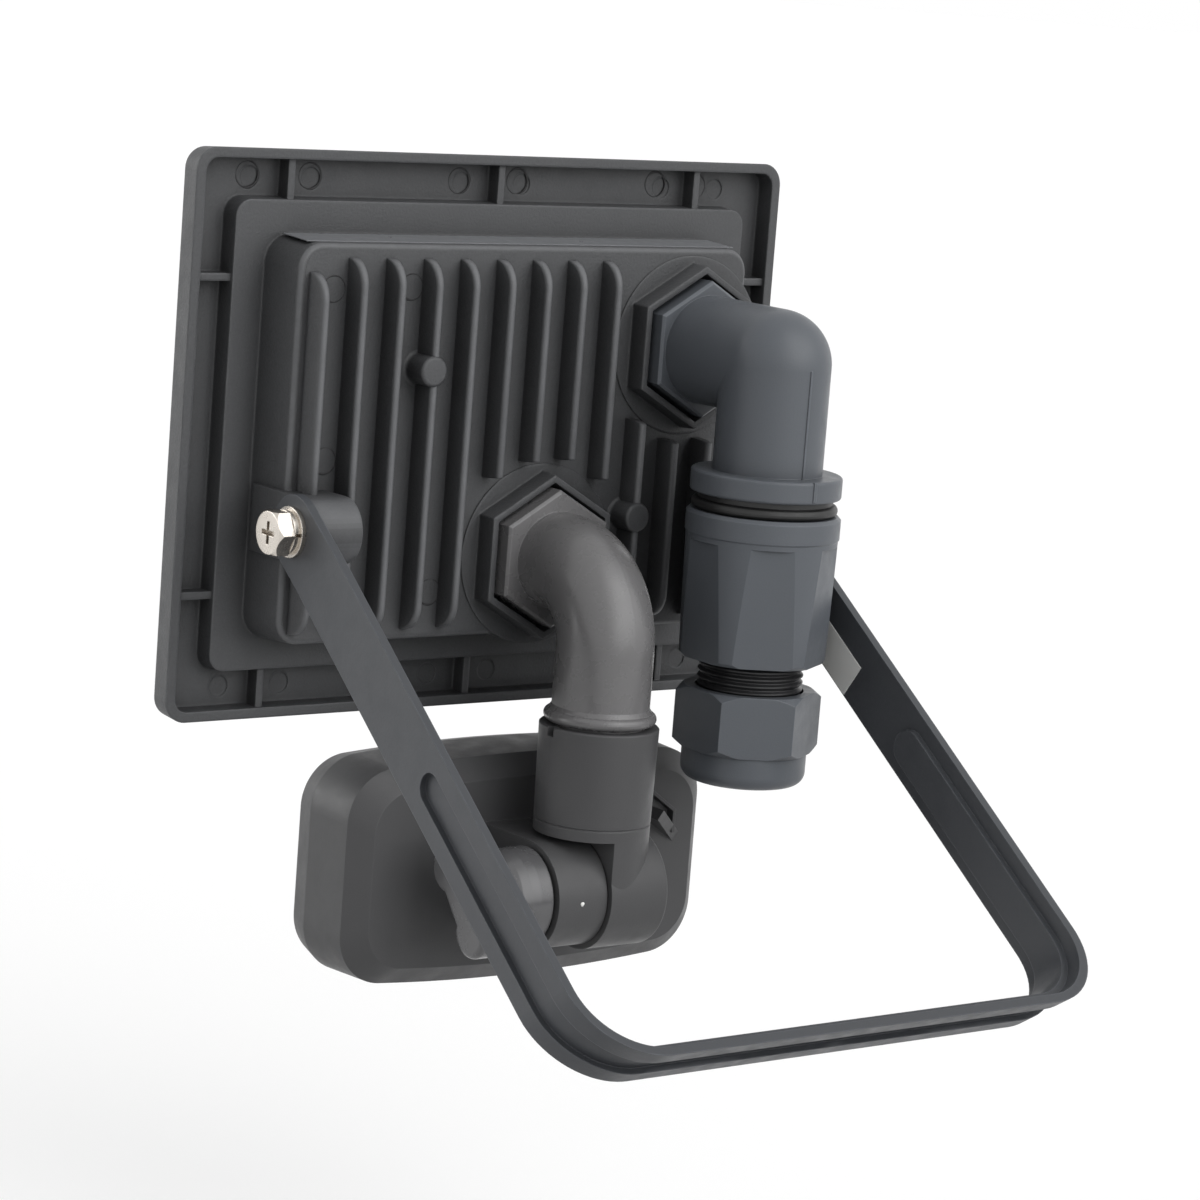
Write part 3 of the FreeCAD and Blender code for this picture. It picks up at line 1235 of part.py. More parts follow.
NODES = {
    "housing": housing,
    "front_glass": front_glass,
    "glass_seal": glass_seal,
    "led_board": led_board,
    "led_chips": led_chips,
    "driver_chips": driver_chips,
    "board_screws": board_screws,
    "reflector": reflector,
    "rating_label": rating_label,
    "mains_port_seal": lambda: port_seal(MAINS_X, MAINS_Z),
    "mains_lock_nut": lambda: lock_nut(MAINS_X, MAINS_Z),
    "mains_elbow": mains_elbow,
    "coupling_seal": coupling_seal,
    "coupling_body": coupling_body,
    "terminal_block": terminal_block,
    "terminal_screws": terminal_screws,
    "gland_neck": gland_neck,
    "gland_seal": gland_seal,
    "gland_nut": gland_nut,
    "supply_leads": supply_leads,
    "sensor_port_seal": lambda: port_seal(SENSOR_X, SENSOR_Z),
    "sensor_lock_nut": lambda: lock_nut(SENSOR_X, SENSOR_Z),
    "sensor_elbow": sensor_elbow,
    "sensor_leads": sensor_leads,
    "sensor_sleeve": sensor_sleeve,
    "sensor_back_shell": sensor_back_shell,
    "sensor_front_shell": sensor_front_shell,
    "pir_lens": pir_lens,
    "sensor_board": sensor_board,
    "pyro_sensor": pyro_sensor,
    "relay": relay,
    "capacitors": capacitors,
    "tilt_bolt": tilt_bolt,
    "knob_washer": knob_washer,
    "wing_knob": wing_knob,
    "bracket": bracket,
    "arm_label": arm_label,
    "flat_washers": flat_washers,
    "spring_washers": spring_washers,
    "pivot_bolts": pivot_bolts,
}

for name, make in NODES.items():
    made = make()
    shape = Part.makeCompound(made) if isinstance(made, list) else made
    shape.translate(frame_shift())
    shape.exportStep("parts/%s.step" % name)
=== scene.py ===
import json
import math
import bmesh
import bpy
from mathutils import Matrix, Vector


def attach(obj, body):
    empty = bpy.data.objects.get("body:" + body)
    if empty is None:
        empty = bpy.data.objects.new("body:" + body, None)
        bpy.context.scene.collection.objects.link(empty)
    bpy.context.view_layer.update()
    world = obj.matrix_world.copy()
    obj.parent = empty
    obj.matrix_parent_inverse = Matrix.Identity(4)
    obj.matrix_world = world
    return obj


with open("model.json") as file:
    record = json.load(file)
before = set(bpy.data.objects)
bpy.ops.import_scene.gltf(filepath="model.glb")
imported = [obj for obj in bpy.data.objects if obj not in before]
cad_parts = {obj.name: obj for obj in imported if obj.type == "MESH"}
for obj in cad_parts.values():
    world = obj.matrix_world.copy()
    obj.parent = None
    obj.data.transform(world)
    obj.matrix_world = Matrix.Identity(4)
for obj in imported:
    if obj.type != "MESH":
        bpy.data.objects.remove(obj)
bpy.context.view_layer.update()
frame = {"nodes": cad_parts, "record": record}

MM = 0.001

# The origin is the bracket's fixing hole; this is the middle of the housing's rim from there, in metres.
RIM = Vector((0.0, -0.151279, 0.110459))


# Node helpers

def new_node(tree, kind, inputs=None, **props):
    node = tree.nodes.new(kind)
    for key, value in props.items():
        setattr(node, key, value)
    for key, value in (inputs or {}).items():
        node.inputs[key].default_value = value
    return node


def link(tree, a, out, b, into):
    tree.links.new(a.outputs[out], b.inputs[into])


# Where a seed takes the noise, per axis
SEED_SHIFT = (1.0, 0.37, -0.61)


def noise(tree, coords, scale, detail, rough, seed):
    mapping = new_node(tree, "ShaderNodeMapping")
    mapping.inputs["Location"].default_value = tuple(seed * shift for shift in SEED_SHIFT)
    link(tree, coords, "Object", mapping, "Vector")
    tex = new_node(tree, "ShaderNodeTexNoise", {"Scale": scale, "Detail": detail, "Roughness": rough})
    link(tree, mapping, "Vector", tex, "Vector")
    return tex


def spread(tree, tex, low, high, out_low, out_high, socket="Fac"):
    rng = new_node(tree, "ShaderNodeMapRange", {"From Min": low, "From Max": high, "To Min": out_low,
                                                "To Max": out_high})
    link(tree, tex, socket, rng, "Value")
    return rng.outputs["Result"]


def blend_rgb(tree, first, second, factor, mode="MIX"):
    mix = new_node(tree, "ShaderNodeMix", data_type="RGBA", blend_type=mode)
    for value, socket in ((first, 6), (second, 7)):
        if isinstance(value, tuple):
            mix.inputs[socket].default_value = value
        else:
            tree.links.new(value, mix.inputs[socket])
    if isinstance(factor, float):
        mix.inputs[0].default_value = factor
    else:
        tree.links.new(factor, mix.inputs[0])
    return mix.outputs[2]


def combine(tree, operation, first, second):
    # A maths node over two sockets or numbers.
    node = new_node(tree, "ShaderNodeMath", operation=operation)
    for value, socket in ((first, 0), (second, 1)):
        if isinstance(value, float):
            node.inputs[socket].default_value = value
        else:
            tree.links.new(value, node.inputs[socket])
    return node.outputs[0]


def tone(rgb, k):
    return (rgb[0] * k, rgb[1] * k, rgb[2] * k, 1.0)


# Noises: cycles per metre, detail and roughness; each surface gives the scale of its own fine noise
BROAD_NOISE = (14.0, 3.0, 0.55)
MIDDLE_NOISE = (180.0, 4.0, 0.6)
FINE_NOISE = (3.0, 0.65)
WAVE_NOISE = (60.0, 2.0, 0.5)
# Band of the fine noise that counts as pores, and of the middle one that sets the gloss
PORE_BAND = (0.36, 0.62)
GLOSS_BAND = (0.3, 0.7)
# Reach of the worn and highlighted edges in metres, and how many samples the bevel and recess shade nodes
# take
EDGE_R = 0.0006
NODE_SAMPLES = 6
# How much of the paint's own tone shows in pores, on worn and highlighted edges, on highlighted fillets and
# ridges and in the painted shade of recesses
PORE_TONE = 0.72
EDGE_WEAR_HIGHLIGHT_TONE = 2.6
FILLET_HIGHLIGHT_TONE = 2.2
RECESS_SHADE_TONE = 0.30
# Part of the middle noise over which wear and painted highlights come and go, and the least that is left of
# them on edges, fillets and ridges
PATCH_BAND = (0.35, 0.6)
EDGE_LEAST = 0.2
FILLET_LEAST = 0.6
RIDGE_LEAST = 0.7
# From where to where a mask grows: cosine on an edge, product of two normal parts on a fillet, height on a
# ridge, openness in a recess
EDGE_BAND = (0.995, 0.88)
FILLET_BAND = (0.15, 0.45)
RIDGE_BAND = (0.5, 1.0)
RECESS_BAND = (0.9, 0.35)


def surface(name, rgb, rough=0.5, grain=0.00006, grain_scale=2200.0, wave=0.0, edge=0.0, round_r=0.0003,
            specks=0.0, metal=0.0, vary=0.08, spec=0.5, rough_vary=0.08, seed=0.0, recess_shade=0.0, recess_r=0.009,
            fillet_wear_and_highlight=0.0, ridge=0.0):
    # Painted, moulded or plated surface; lengths in metres, amounts from 0 to 1.
    mat = bpy.data.materials.new(name)
    mat.use_nodes = True
    tree = mat.node_tree
    bsdf = tree.nodes["Principled BSDF"]
    coords = new_node(tree, "ShaderNodeTexCoord")
    broad = noise(tree, coords, *BROAD_NOISE, seed + 1.0)
    middle = noise(tree, coords, *MIDDLE_NOISE, seed + 2.0)
    fine = noise(tree, coords, grain_scale, *FINE_NOISE, seed + 3.0)
    colour = blend_rgb(tree, tone(rgb, 1.0 - vary), tone(rgb, 1.0 + vary), broad.outputs["Fac"])
    pores = spread(tree, fine, *PORE_BAND, 0.0, 1.0)
    colour = blend_rgb(tree, colour, tone(rgb, PORE_TONE), combine(tree, "MULTIPLY", pores, specks))
    # Lighter edges: partly wear, partly a painted highlight
    if edge > 0.0:
        colour = blend_rgb(tree, colour, tone(rgb, EDGE_WEAR_HIGHLIGHT_TONE), edge_wear_and_highlight_mask(tree, edge, middle))
    # Lighter fillets: partly wear, partly a painted highlight
    if fillet_wear_and_highlight > 0.0:
        colour = blend_rgb(tree, colour, tone(rgb, FILLET_HIGHLIGHT_TONE), fillet_wear_and_highlight_mask(tree, fillet_wear_and_highlight, middle))
    # Lighter fin tops: a painted highlight
    if ridge > 0.0:
        colour = blend_rgb(tree, colour, tone(rgb, FILLET_HIGHLIGHT_TONE), ridge_highlight_mask(tree, ridge, middle))
    # Darker recesses: painted shade, found by ambient occlusion
    if recess_shade > 0.0:
        colour = blend_rgb(tree, colour, tone(rgb, RECESS_SHADE_TONE), recess_shade_mask(tree, recess_r, recess_shade))
    tree.links.new(colour, bsdf.inputs["Base Color"])
    gloss = spread(tree, middle, *GLOSS_BAND, rough - rough_vary, rough + rough_vary)
    tree.links.new(gloss, bsdf.inputs["Roughness"])
    bsdf.inputs["Metallic"].default_value = metal
    bsdf.inputs["Specular IOR Level"].default_value = spec
    rounder = new_node(tree, "ShaderNodeBevel", {"Radius": round_r}, samples=NODE_SAMPLES)
    bump = new_node(tree, "ShaderNodeBump", {"Strength": 1.0, "Distance": grain})
    link(tree, fine, "Fac", bump, "Height")
    link(tree, rounder, "Normal", bump, "Normal")
    last = bump
    if wave > 0.0:
        slow = noise(tree, coords, *WAVE_NOISE, seed + 4.0)
        swell = new_node(tree, "ShaderNodeBump", {"Strength": 1.0, "Distance": wave})
        link(tree, slow, "Fac", swell, "Height")
        link(tree, bump, "Normal", swell, "Normal")
        last = swell
    link(tree, last, "Normal", bsdf, "Normal")
    return mat


def edge_wear_and_highlight_mask(tree, amount, tex):
    # Wear and a painted highlight on sharp edges, lighter where the rounded normal leaves the real one.
    bevel = new_node(tree, "ShaderNodeBevel", {"Radius": EDGE_R}, samples=NODE_SAMPLES)
    geo = new_node(tree, "ShaderNodeNewGeometry")
    dot = new_node(tree, "ShaderNodeVectorMath", operation="DOT_PRODUCT")
    link(tree, bevel, "Normal", dot, 0)
    link(tree, geo, "Normal", dot, 1)
    return combine(tree, "MULTIPLY", spread(tree, dot, *EDGE_BAND, 0.0, amount, "Value"),
                   spread(tree, tex, *PATCH_BAND, EDGE_LEAST, 1.0))


def fillet_wear_and_highlight_mask(tree, amount, tex):
    # Wear and a painted highlight on fillets: strongest where the normal lies half-way between two of the
    # housing's own axes.
    geo = new_node(tree, "ShaderNodeNewGeometry")
    turn = new_node(tree, "ShaderNodeVectorTransform", vector_type="NORMAL", convert_from="WORLD",
                    convert_to="OBJECT")
    link(tree, geo, "True Normal", turn, 0)
    size = new_node(tree, "ShaderNodeVectorMath", operation="ABSOLUTE")
    link(tree, turn, 0, size, 0)
    parts = new_node(tree, "ShaderNodeSeparateXYZ")
    link(tree, size, "Vector", parts, 0)
    across = combine(tree, "MULTIPLY", parts.outputs["X"], parts.outputs["Y"])
    along = combine(tree, "MULTIPLY", parts.outputs["Z"], parts.outputs["Y"])
    both = new_node(tree, "ShaderNodeMath", operation="ADD")
    tree.links.new(across, both.inputs[0])
    tree.links.new(along, both.inputs[1])
    return combine(tree, "MULTIPLY", spread(tree, both, *FILLET_BAND, 0.0, amount, "Value"),
                   spread(tree, tex, *PATCH_BAND, FILLET_LEAST, 1.0))


def ridge_highlight_mask(tree, amount, tex):
    # Painted highlight on the tops of the fins, which carry their shape as the attribute "ridge".
    ridge = new_node(tree, "ShaderNodeAttribute", attribute_name="ridge")
    return combine(tree, "MULTIPLY", spread(tree, ridge, *RIDGE_BAND, 0.0, amount),
                   spread(tree, tex, *PATCH_BAND, RIDGE_LEAST, 1.0))


def recess_shade_mask(tree, reach, amount):
    # Painted shade: darker in corners and between fins, where little is open around.
    open_sky = new_node(tree, "ShaderNodeAmbientOcclusion", {"Distance": reach}, samples=NODE_SAMPLES)
    return spread(tree, open_sky, *RECESS_BAND, 0.0, amount, "AO")


HOUSING_RGB = (0.063, 0.0645, 0.0675)
MATERIALS = {
    "housing_paint": surface("housing_paint", HOUSING_RGB, 0.50, grain=0.00012, grain_scale=1500.0,
                             wave=0.0001, edge=0.45, round_r=0.0009, specks=0.35, vary=0.1, spec=0.35,
                             recess_shade=0.8, fillet_wear_and_highlight=0.5, seed=1.0),
    "bracket_paint": surface("bracket_paint", (0.052, 0.055, 0.061), 0.45, grain=0.00003, grain_scale=1200.0,
                             wave=0.0001, edge=0.5, specks=0.1, vary=0.06, spec=0.3, seed=11.0),
    "connector_plastic": surface("connector_plastic", (0.090, 0.098, 0.110), 0.38, grain=0.00003,
                                 grain_scale=2600.0, edge=0.25, specks=0.12, vary=0.07, spec=0.3,
                                 recess_shade=0.5, recess_r=0.006, seed=21.0),
    "elbow_plastic": surface("elbow_plastic", (0.118, 0.116, 0.118), 0.28, grain=0.000015,
                             grain_scale=1500.0, edge=0.15, specks=0.08, vary=0.07, seed=31.0),
    "sensor_plastic": surface("sensor_plastic", (0.059, 0.059, 0.061), 0.46, grain=0.00003,
                              grain_scale=2400.0, edge=0.2, specks=0.1, vary=0.06, spec=0.3, seed=41.0),
    "knob_plastic": surface("knob_plastic", (0.080, 0.080, 0.083), 0.25, grain=0.00001, edge=0.2, seed=51.0),
    "neck_plastic": surface("neck_plastic", (0.012, 0.012, 0.013), 0.38, grain=0.00002, edge=0.2, seed=61.0),
    "seal_rubber": surface("seal_rubber", (0.008, 0.008, 0.008), 0.45, grain=0.00003, seed=71.0),
    "screw_steel": surface("screw_steel", (0.58, 0.54, 0.49), 0.28, grain=0.00002, grain_scale=900.0,
                           metal=1.0, vary=0.1, seed=81.0),
    "can_metal": surface("can_metal", (0.6, 0.6, 0.6), 0.3, grain=0.00001, metal=1.0, seed=91.0),
    "label_film": surface("label_film", (0.16, 0.165, 0.175), 0.35, grain=0.00001, vary=0.04, seed=101.0),
    "label_white": surface("label_white", (0.70, 0.70, 0.68), 0.4, grain=0.00001, vary=0.03, seed=111.0),
    "board_white": surface("board_white", (0.8, 0.8, 0.77), 0.4, grain=0.00001, vary=0.03, seed=121.0),
    "chip_yellow": surface("chip_yellow", (0.8, 0.6, 0.1), 0.3, grain=0.00001, seed=131.0),
    "chip_black": surface("chip_black", (0.02, 0.02, 0.022), 0.4, grain=0.00001, seed=141.0),
    "reflector_white": surface("reflector_white", (0.8, 0.8, 0.8), 0.35, grain=0.00002, vary=0.03,
                               seed=151.0),
    "block_plastic": surface("block_plastic", (0.6, 0.6, 0.56), 0.4, grain=0.00002, seed=161.0),
    "lead_cover": surface("lead_cover", (0.12, 0.05, 0.02), 0.4, grain=0.00002, seed=171.0),
    "lens_plastic": surface("lens_plastic", (0.75, 0.75, 0.72), 0.35, grain=0.00001, vary=0.02, seed=181.0),
    "board_green": surface("board_green", (0.02, 0.12, 0.05), 0.35, grain=0.00001, seed=191.0),
}


def glass_material():
    mat = surface("front_glass", (0.9, 0.93, 0.93), 0.06, grain=0.0, vary=0.02, seed=201.0, rough_vary=0.03)
    bsdf = mat.node_tree.nodes["Principled BSDF"]
    bsdf.inputs["Transmission Weight"].default_value = 1.0
    bsdf.inputs["IOR"].default_value = 1.45
    return mat


MATERIALS["front_glass"] = glass_material()

# Paints of the pieces that this script adds
FIN_PAINT = surface("fin_paint", HOUSING_RGB, 0.50, grain=0.00012, grain_scale=1500.0, wave=0.0001,
                    round_r=0.00005, specks=0.35, vary=0.1, spec=0.35, recess_shade=0.8, ridge=0.7, seed=1.0)
# Near-black paint for the rings that stand in for the shade in the ejector-pin grooves
MARK_SHADE_PAINT = surface("groove_shade_paint", (0.010, 0.010, 0.011), 0.6, grain=0.00005, seed=211.0)
DAB_PAINT = surface("dab_paint", (0.75, 0.75, 0.73), 0.4, grain=0.00001, seed=221.0)

SLOTS = {row["node"]: row["material_slot"] for row in frame["record"]["subparts"]}
for name, obj in frame["nodes"].items():
    material = MATERIALS[SLOTS[name]]
    if not obj.material_slots:
        obj.data.materials.append(material)
    for entry in obj.material_slots:
        entry.material = material


# Fins, studs and ejector-pin rings of painted shade on the housing

# All in millimetres from the middle of the rim: X across, Y back, Z up. Face skin: width, height, corner
# radius, level and how far it reaches into the solid
FACE_W = 129.0
FACE_H = 91.5
FACE_R = 4.8
FACE_Y = 14.43
FACE_SINK = 0.4
FACE_CORNER_STEPS = 6
# Fins: places across, height, half thickness, draft, rounded top, upper and lower ends, length of a free
# end's quarter round and of an end at a port
FIN_FIRST = 62.15
FIN_PITCH = 10.53
FIN_COUNT = 12
FIN_H = 6.3
FIN_HALF = 1.05
FIN_DRAFT = 0.25
FIN_ROUND = 1.0
FIN_TOP = 43.9
FIN_TOP_FIRST = 40.5
FIN_LOW = -44.5
FIN_END = 6.6
FIN_BLUNT = 0.8
FIN_TOP_STEPS = 8
FIN_END_STEPS = 10
# Discs of the two cable ports, and how far the fins stay off them
PORTS = ((-48.5, 23.3), (-7.0, -27.6))
PORT_R = 22.2
PORT_CLEAR = 1.5
# How far across and up a fin's ridge is from the place on the face that it hides in the photograph
LEAN_X = 4.17
LEAN_Z = 0.83
# Studs: places, radius, height, rounded edge and fillet at the foot
STUDS = ((31.2, 18.0), (-32.4, -18.5))
STUD_R = 3.65
STUD_H = 6.9
STUD_EDGE = 0.9
STUD_FOOT = 0.9
STUD_FOOT_STEPS = 4
STUD_EDGE_STEPS = 6
STUD_SIDES = 48
# Dark rings of painted shade where the ejector pins leave grooves: on the floors between the fins and in the
# rim's channel
FLOOR_MARKS = ((56.5, 36.6), (34.7, 37.2), (56.1, -3.6), (23.8, -35.9))
CHANNEL_Y = -5.2
CHANNEL_MARKS = ((69.6, 60.9), (52.3, 60.9), (9.6, 60.7), (-7.6, 61.0), (-50.1, 61.2), (-62.9, 61.0))
MARK_R = 3.1
MARK_H = 0.05
MARK_WIDTH = 0.12
MARK_HEAVY = 0.13
MARK_TURN = 0.6
MARK_WOBBLE = 0.05
MARK_WAVES = 5.0
MARK_SIDES = 56
# Dab of white paint on the sensor head's knuckle: place, radius, height and its levels with their reach
DAB_AT = (3.9, 58.1, -103.9)
DAB_R = 0.55
DAB_RISE = 0.12
DAB_LEVELS = ((-0.3, 1.0), (0.0, 1.0), (0.6, 0.8), (1.0, 0.35))
DAB_WOBBLE = 0.08
DAB_SIDES = 20


# Angles in degrees above which an edge is shaded sharp
SMOOTH_ANGLE = 40.0
FACE_SMOOTH_ANGLE = 20.0


def lamp_point(x, y, z):
    return Vector((x * MM, y * MM, z * MM)) + RIM


def new_piece(name, bm, body, material, smooth=SMOOTH_ANGLE):
    bmesh.ops.recalc_face_normals(bm, faces=bm.faces)
    mesh = bpy.data.meshes.new(name)
    bm.to_mesh(mesh)
    bm.free()
    mesh.shade_smooth()
    mesh.set_sharp_from_angle(angle=math.radians(smooth))
    mesh.materials.append(material)
    piece = bpy.data.objects.new(name, mesh)
    bpy.context.scene.collection.objects.link(piece)
    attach(piece, body)


def turns(count):
    return [2 * math.pi * k / count for k in range(count)]


def loft(bm, rings, closed=False):
    # Skin over rings of equal length; the first and last are capped unless the rings close on themselves.
    rows = [[bm.verts.new(p) for p in ring] for ring in rings]
    count = len(rows[0])
    pairs = list(zip(rows, rows[1:]))
    if closed:
        pairs.append((rows[-1], rows[0]))
    for low, high in pairs:
        for i in range(count):
            j = (i + 1) % count
            bm.faces.new((low[i], low[j], high[j], high[i]))
    if not closed:
        bm.faces.new(rows[0])
        bm.faces.new(list(reversed(rows[-1])))
    return rows


def fin_ring(x, z, height):
    # Section of a fin: drafted sides and a rounded top, with its foot a little inside the face.
    top = min(FIN_ROUND, height)
    side = FIN_HALF + FIN_DRAFT * (1.0 - (height - top) / FIN_H)
    foot = FIN_HALF + FIN_DRAFT
    pts = [(x + foot, FACE_Y - FACE_SINK)]
    for k in range(FIN_TOP_STEPS + 1):
        t = math.pi * k / FIN_TOP_STEPS
        pts.append((x + side * math.cos(t), FACE_Y + height - top + top * math.sin(t)))
    pts.append((x - foot, FACE_Y - FACE_SINK))
    return [lamp_point(px, py, z) for px, py in pts]


def fin_end(z, inward, length):
    # Stations of a fin's end, from its tip on the face to its full height.
    stations = []
    for k in range(FIN_END_STEPS + 1):
        t = math.radians(90.0 * k / FIN_END_STEPS)
        stations.append((z + inward * length * (1.0 - math.cos(t)), FIN_H * math.sin(t)))
    return stations


def fin_spans(x, top):
    # The stretches of a fin that stay clear of the two cable ports.
    blocked = []
    for cx, cz in PORTS:
        for dx, dz, reach in ((LEAN_X, LEAN_Z, PORT_R), (0.0, 0.0, PORT_R + PORT_CLEAR)):
            across = x - dx - cx
            if abs(across) < reach:
                half = math.sqrt(reach * reach - across * across)
                blocked.append((cz + dz - half, cz + dz + half))
    low = FIN_LOW
    spans = []
    blunt = False
    for start, stop in sorted(blocked):
        if start > low:
            spans.append((low, start, blunt, True))
        low = max(low, stop)
        blunt = True
    if top > low:
        spans.append((low, top, blunt, False))
    return [s for s in spans if s[1] - s[0] > 2.0 * FIN_END]


def build_fins(material):
    bm = bmesh.new()
    # The attribute "ridge" rises from 0 on a fin's sides to 1 along its top, for the painted highlight there.
    ridge = bm.verts.layers.float.new("ridge")
    for k in range(FIN_COUNT):
        x = FIN_FIRST - FIN_PITCH * k
        top = FIN_TOP_FIRST if k == 0 else FIN_TOP
        for z0, z1, blunt0, blunt1 in fin_spans(x, top):
            low = fin_end(z0, 1.0, FIN_BLUNT if blunt0 else FIN_END)
            high = fin_end(z1, -1.0, FIN_BLUNT if blunt1 else FIN_END)
            rows = loft(bm, [fin_ring(x, z, h) for z, h in low + list(reversed(high))])
            for row in rows:
                for n in range(FIN_TOP_STEPS + 1):
                    row[n + 1][ridge] = math.sin(math.pi * n / FIN_TOP_STEPS)
    new_piece("housing_fins", bm, "lamp", material)


def build_face(material):
    # Thin skin over the raised plate, on which the fins stand.
    bm = bmesh.new()
    rings = []
    for y in (FACE_Y - FACE_SINK, FACE_Y):
        ring = []
        for sx, sz, start in ((1, 1, 0.0), (-1, 1, 90.0), (-1, -1, 180.0), (1, -1, 270.0)):
            for k in range(FACE_CORNER_STEPS + 1):
                t = math.radians(start + 90.0 * k / FACE_CORNER_STEPS)
                ring.append(lamp_point(sx * (FACE_W / 2 - FACE_R) + FACE_R * math.cos(t), y,
                                       sz * (FACE_H / 2 - FACE_R) + FACE_R * math.sin(t)))
        rings.append(ring)
    loft(bm, rings)
    new_piece("housing_face", bm, "lamp", material, FACE_SMOOTH_ANGLE)


def build_studs(material):
    bm = bmesh.new()
    top = FACE_Y + STUD_H
    profile = [(STUD_R + STUD_FOOT, FACE_Y - FACE_SINK)]
    for k in range(STUD_FOOT_STEPS + 1):
        t = math.radians(90.0 * k / STUD_FOOT_STEPS)
        profile.append((STUD_R + STUD_FOOT * (1.0 - math.sin(t)), FACE_Y + STUD_FOOT * (1.0 - math.cos(t))))
    for k in range(STUD_EDGE_STEPS + 1):
        t = math.radians(90.0 * k / STUD_EDGE_STEPS)
        profile.append((STUD_R - STUD_EDGE * (1.0 - math.cos(t)), top - STUD_EDGE * (1.0 - math.sin(t))))
    for x, z in STUDS:
        rings = []
        for r, y in profile:
            rings.append([lamp_point(x + r * math.cos(t), y, z + r * math.sin(t)) for t in turns(STUD_SIDES)])
        loft(bm, rings)
    new_piece("housing_studs", bm, "lamp", material)


def build_marks(material):
    # Thin dark rings of painted shade, standing in for the shadowed grooves that the ejector pins leave in
    # the casting, each heavier on one side.
    bm = bmesh.new()
    spots = [(x, FACE_Y, z) for x, z in FLOOR_MARKS] + [(x, CHANNEL_Y, z) for x, z in CHANNEL_MARKS]
    for n, (x, y, z) in enumerate(spots):
        rings = []
        for t in turns(MARK_SIDES):
            width = (MARK_WIDTH + MARK_HEAVY * (1.0 + math.cos(t + MARK_TURN * n))
                     + MARK_WOBBLE * math.sin(MARK_WAVES * t + n))
            ring = []
            for r, up in ((-width, -MARK_H), (-0.5 * width, MARK_H), (0.5 * width, MARK_H), (width, -MARK_H)):
                radius = MARK_R + r
                ring.append(lamp_point(x + radius * math.cos(t), y + up, z + radius * math.sin(t)))
            rings.append(ring)
        loft(bm, rings, closed=True)
    new_piece("groove_shade_rings", bm, "lamp", material)


def build_dab(material):
    bm = bmesh.new()
    x, y, z = DAB_AT
    rings = []
    for level, reach in DAB_LEVELS:
        ring = []
        for t in turns(DAB_SIDES):
            r = DAB_R * reach * (1.0 + DAB_WOBBLE * math.sin(3.0 * t))
            ring.append(lamp_point(x + r * math.cos(t), y + DAB_RISE * level, z + r * math.sin(t)))
        rings.append(ring)
    loft(bm, rings)
    new_piece("paint_dab", bm, "sensor_head", material)


# World: white to the camera and through glass, at least white in mirrors, and for all else soft light from a
# few wide directions

# Azimuth and elevation in degrees, and strength; azimuth 0 is +X and 90 is +Y, behind the lamp
SOFT_LIGHTS = ((-45.0, 5.0, 5.4), (130.0, 20.0, 1.7), (108.0, 50.0, 3.0), (90.0, 10.0, 2.7),
               (20.0, 20.0, 0.8))
SOFTNESS = 8.0


def build_world():
    world = bpy.data.worlds.new("studio")
    bpy.context.scene.world = world
    world.use_nodes = True
    tree = world.node_tree
    plain = tree.nodes["Background"]
    plain.inputs["Color"].default_value = (1.0, 1.0, 1.0, 1.0)
    coords = new_node(tree, "ShaderNodeTexCoord")
    total = 0.0
    for azimuth, elevation, strength in SOFT_LIGHTS:
        turn = math.radians(azimuth)
        rise = math.radians(elevation)
        dot = new_node(tree, "ShaderNodeVectorMath", operation="DOT_PRODUCT")
        link(tree, coords, "Generated", dot, 0)
        dot.inputs[1].default_value = (math.cos(turn) * math.cos(rise), math.sin(turn) * math.cos(rise),
                                       math.sin(rise))
        front = combine(tree, "MAXIMUM", dot.outputs["Value"], 0.0)
        lobe = combine(tree, "MULTIPLY", combine(tree, "POWER", front, SOFTNESS), strength)
        total = combine(tree, "ADD", lobe, total)
    path = new_node(tree, "ShaderNodeLightPath")
    mirrored = combine(tree, "MAXIMUM", total, path.outputs["Is Glossy Ray"])
    seen = combine(tree, "MAXIMUM", path.outputs["Is Camera Ray"], path.outputs["Is Transmission Ray"])
    mix = new_node(tree, "ShaderNodeMix", data_type="FLOAT")
    tree.links.new(seen, mix.inputs[0])
    tree.links.new(mirrored, mix.inputs[2])
    mix.inputs[3].default_value = 1.0
    tree.links.new(mix.outputs[0], plain.inputs["Strength"])


# Floor: the glow reaches only camera, mirror and glass rays, and brings the lit floor up to white round the
# shadow
FLOOR_Z = -0.10
FLOOR_SIZE = 40.0
FLOOR_RGB = (0.45, 0.45, 0.45, 1.0)
FLOOR_GLOW = 0.57
FLOOR_ROUGH = 0.9
FLOOR_SPEC = 0.1


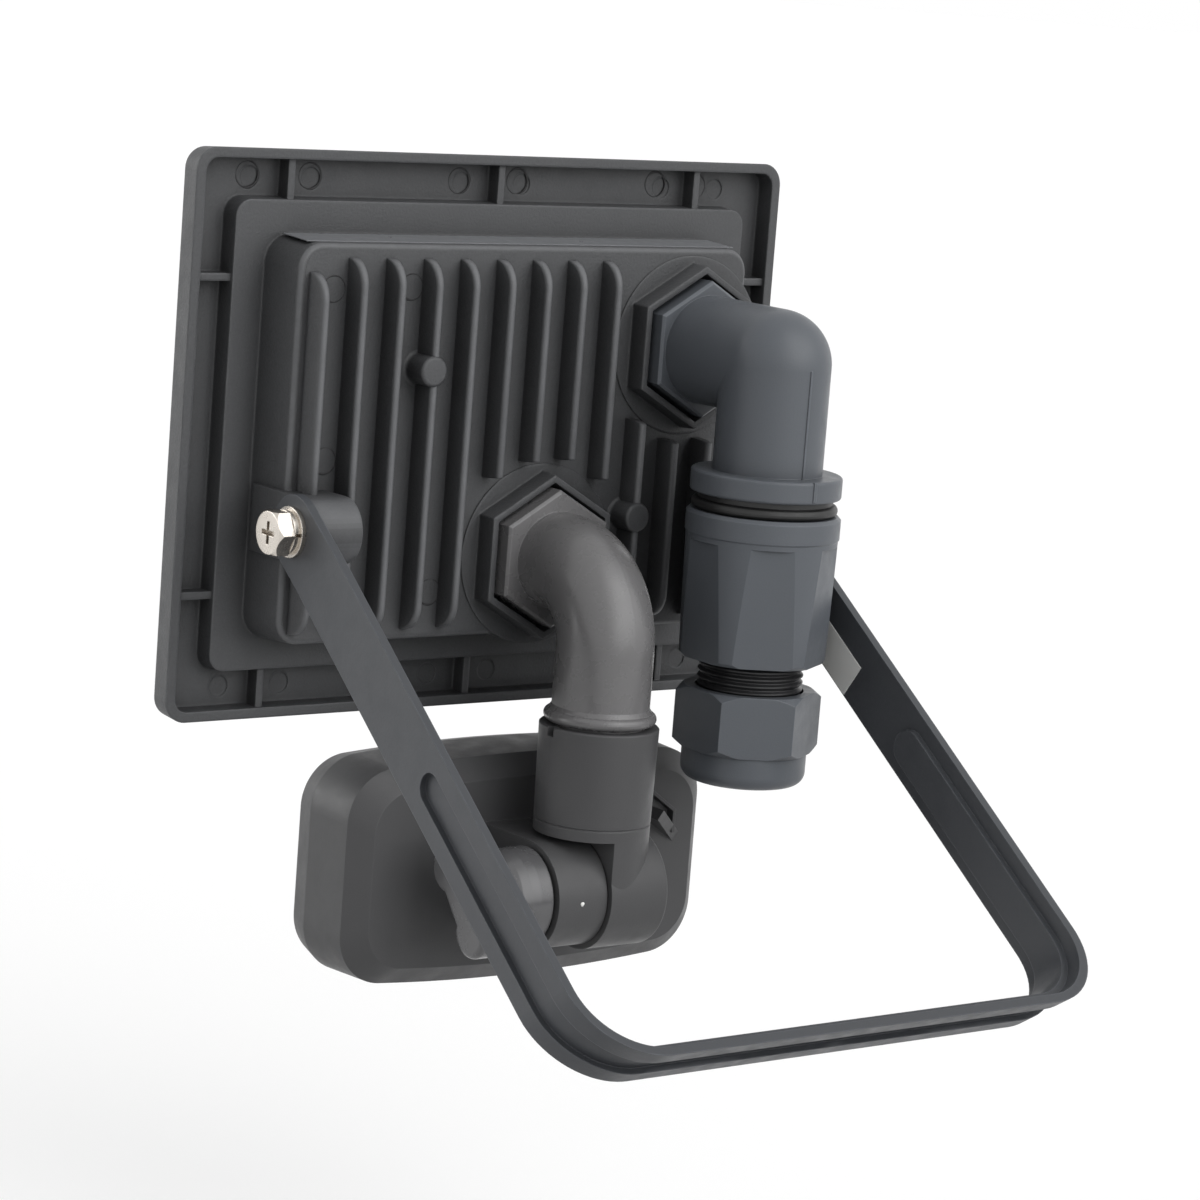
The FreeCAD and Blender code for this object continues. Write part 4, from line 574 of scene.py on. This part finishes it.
def build_floor():
    bpy.ops.mesh.primitive_plane_add(size=FLOOR_SIZE, location=(0.0, 0.0, FLOOR_Z))
    floor = bpy.context.object
    floor.name = "floor"
    mat = bpy.data.materials.new("floor_paint")
    mat.use_nodes = True
    tree = mat.node_tree
    bsdf = tree.nodes["Principled BSDF"]
    path = new_node(tree, "ShaderNodeLightPath")
    seen = combine(tree, "MAXIMUM", path.outputs["Is Camera Ray"], path.outputs["Is Glossy Ray"])
    shown = combine(tree, "MAXIMUM", seen, path.outputs["Is Transmission Ray"])
    bsdf.inputs["Base Color"].default_value = FLOOR_RGB
    bsdf.inputs["Emission Color"].default_value = (1.0, 1.0, 1.0, 1.0)
    tree.links.new(combine(tree, "MULTIPLY", shown, FLOOR_GLOW), bsdf.inputs["Emission Strength"])
    bsdf.inputs["Roughness"].default_value = FLOOR_ROUGH
    bsdf.inputs["Specular IOR Level"].default_value = FLOOR_SPEC
    floor.data.materials.append(mat)


# Camera fitted to the photograph: its axes and place in metres, lens and sensor in millimetres
CAM_RIGHT = (-0.798140, 0.597641, 0.076135)
CAM_UP = (-0.040490, -0.179296, 0.982962)
CAM_POS = (0.565927, 0.635083, 0.235719)
CAM_LENS = 120.0
CAM_SENSOR = 36.0
CAM_FAR = 20.0


def build_camera():
    data = bpy.data.cameras.new("camera")
    data.sensor_width = CAM_SENSOR
    data.lens = CAM_LENS
    data.clip_end = CAM_FAR
    obj = bpy.data.objects.new("camera", data)
    bpy.context.scene.collection.objects.link(obj)
    right = Vector(CAM_RIGHT)
    up = Vector(CAM_UP)
    back = right.cross(up)
    obj.matrix_world = Matrix((
        (right.x, up.x, back.x, CAM_POS[0]),
        (right.y, up.y, back.y, CAM_POS[1]),
        (right.z, up.z, back.z, CAM_POS[2]),
        (0.0, 0.0, 0.0, 1.0)))
    bpy.context.scene.camera = obj


build_face(FIN_PAINT)
build_fins(FIN_PAINT)
build_studs(FIN_PAINT)
build_marks(MARK_SHADE_PAINT)
build_dab(DAB_PAINT)
build_world()
build_floor()
build_camera()

bpy.context.scene.view_settings.view_transform = "Standard"
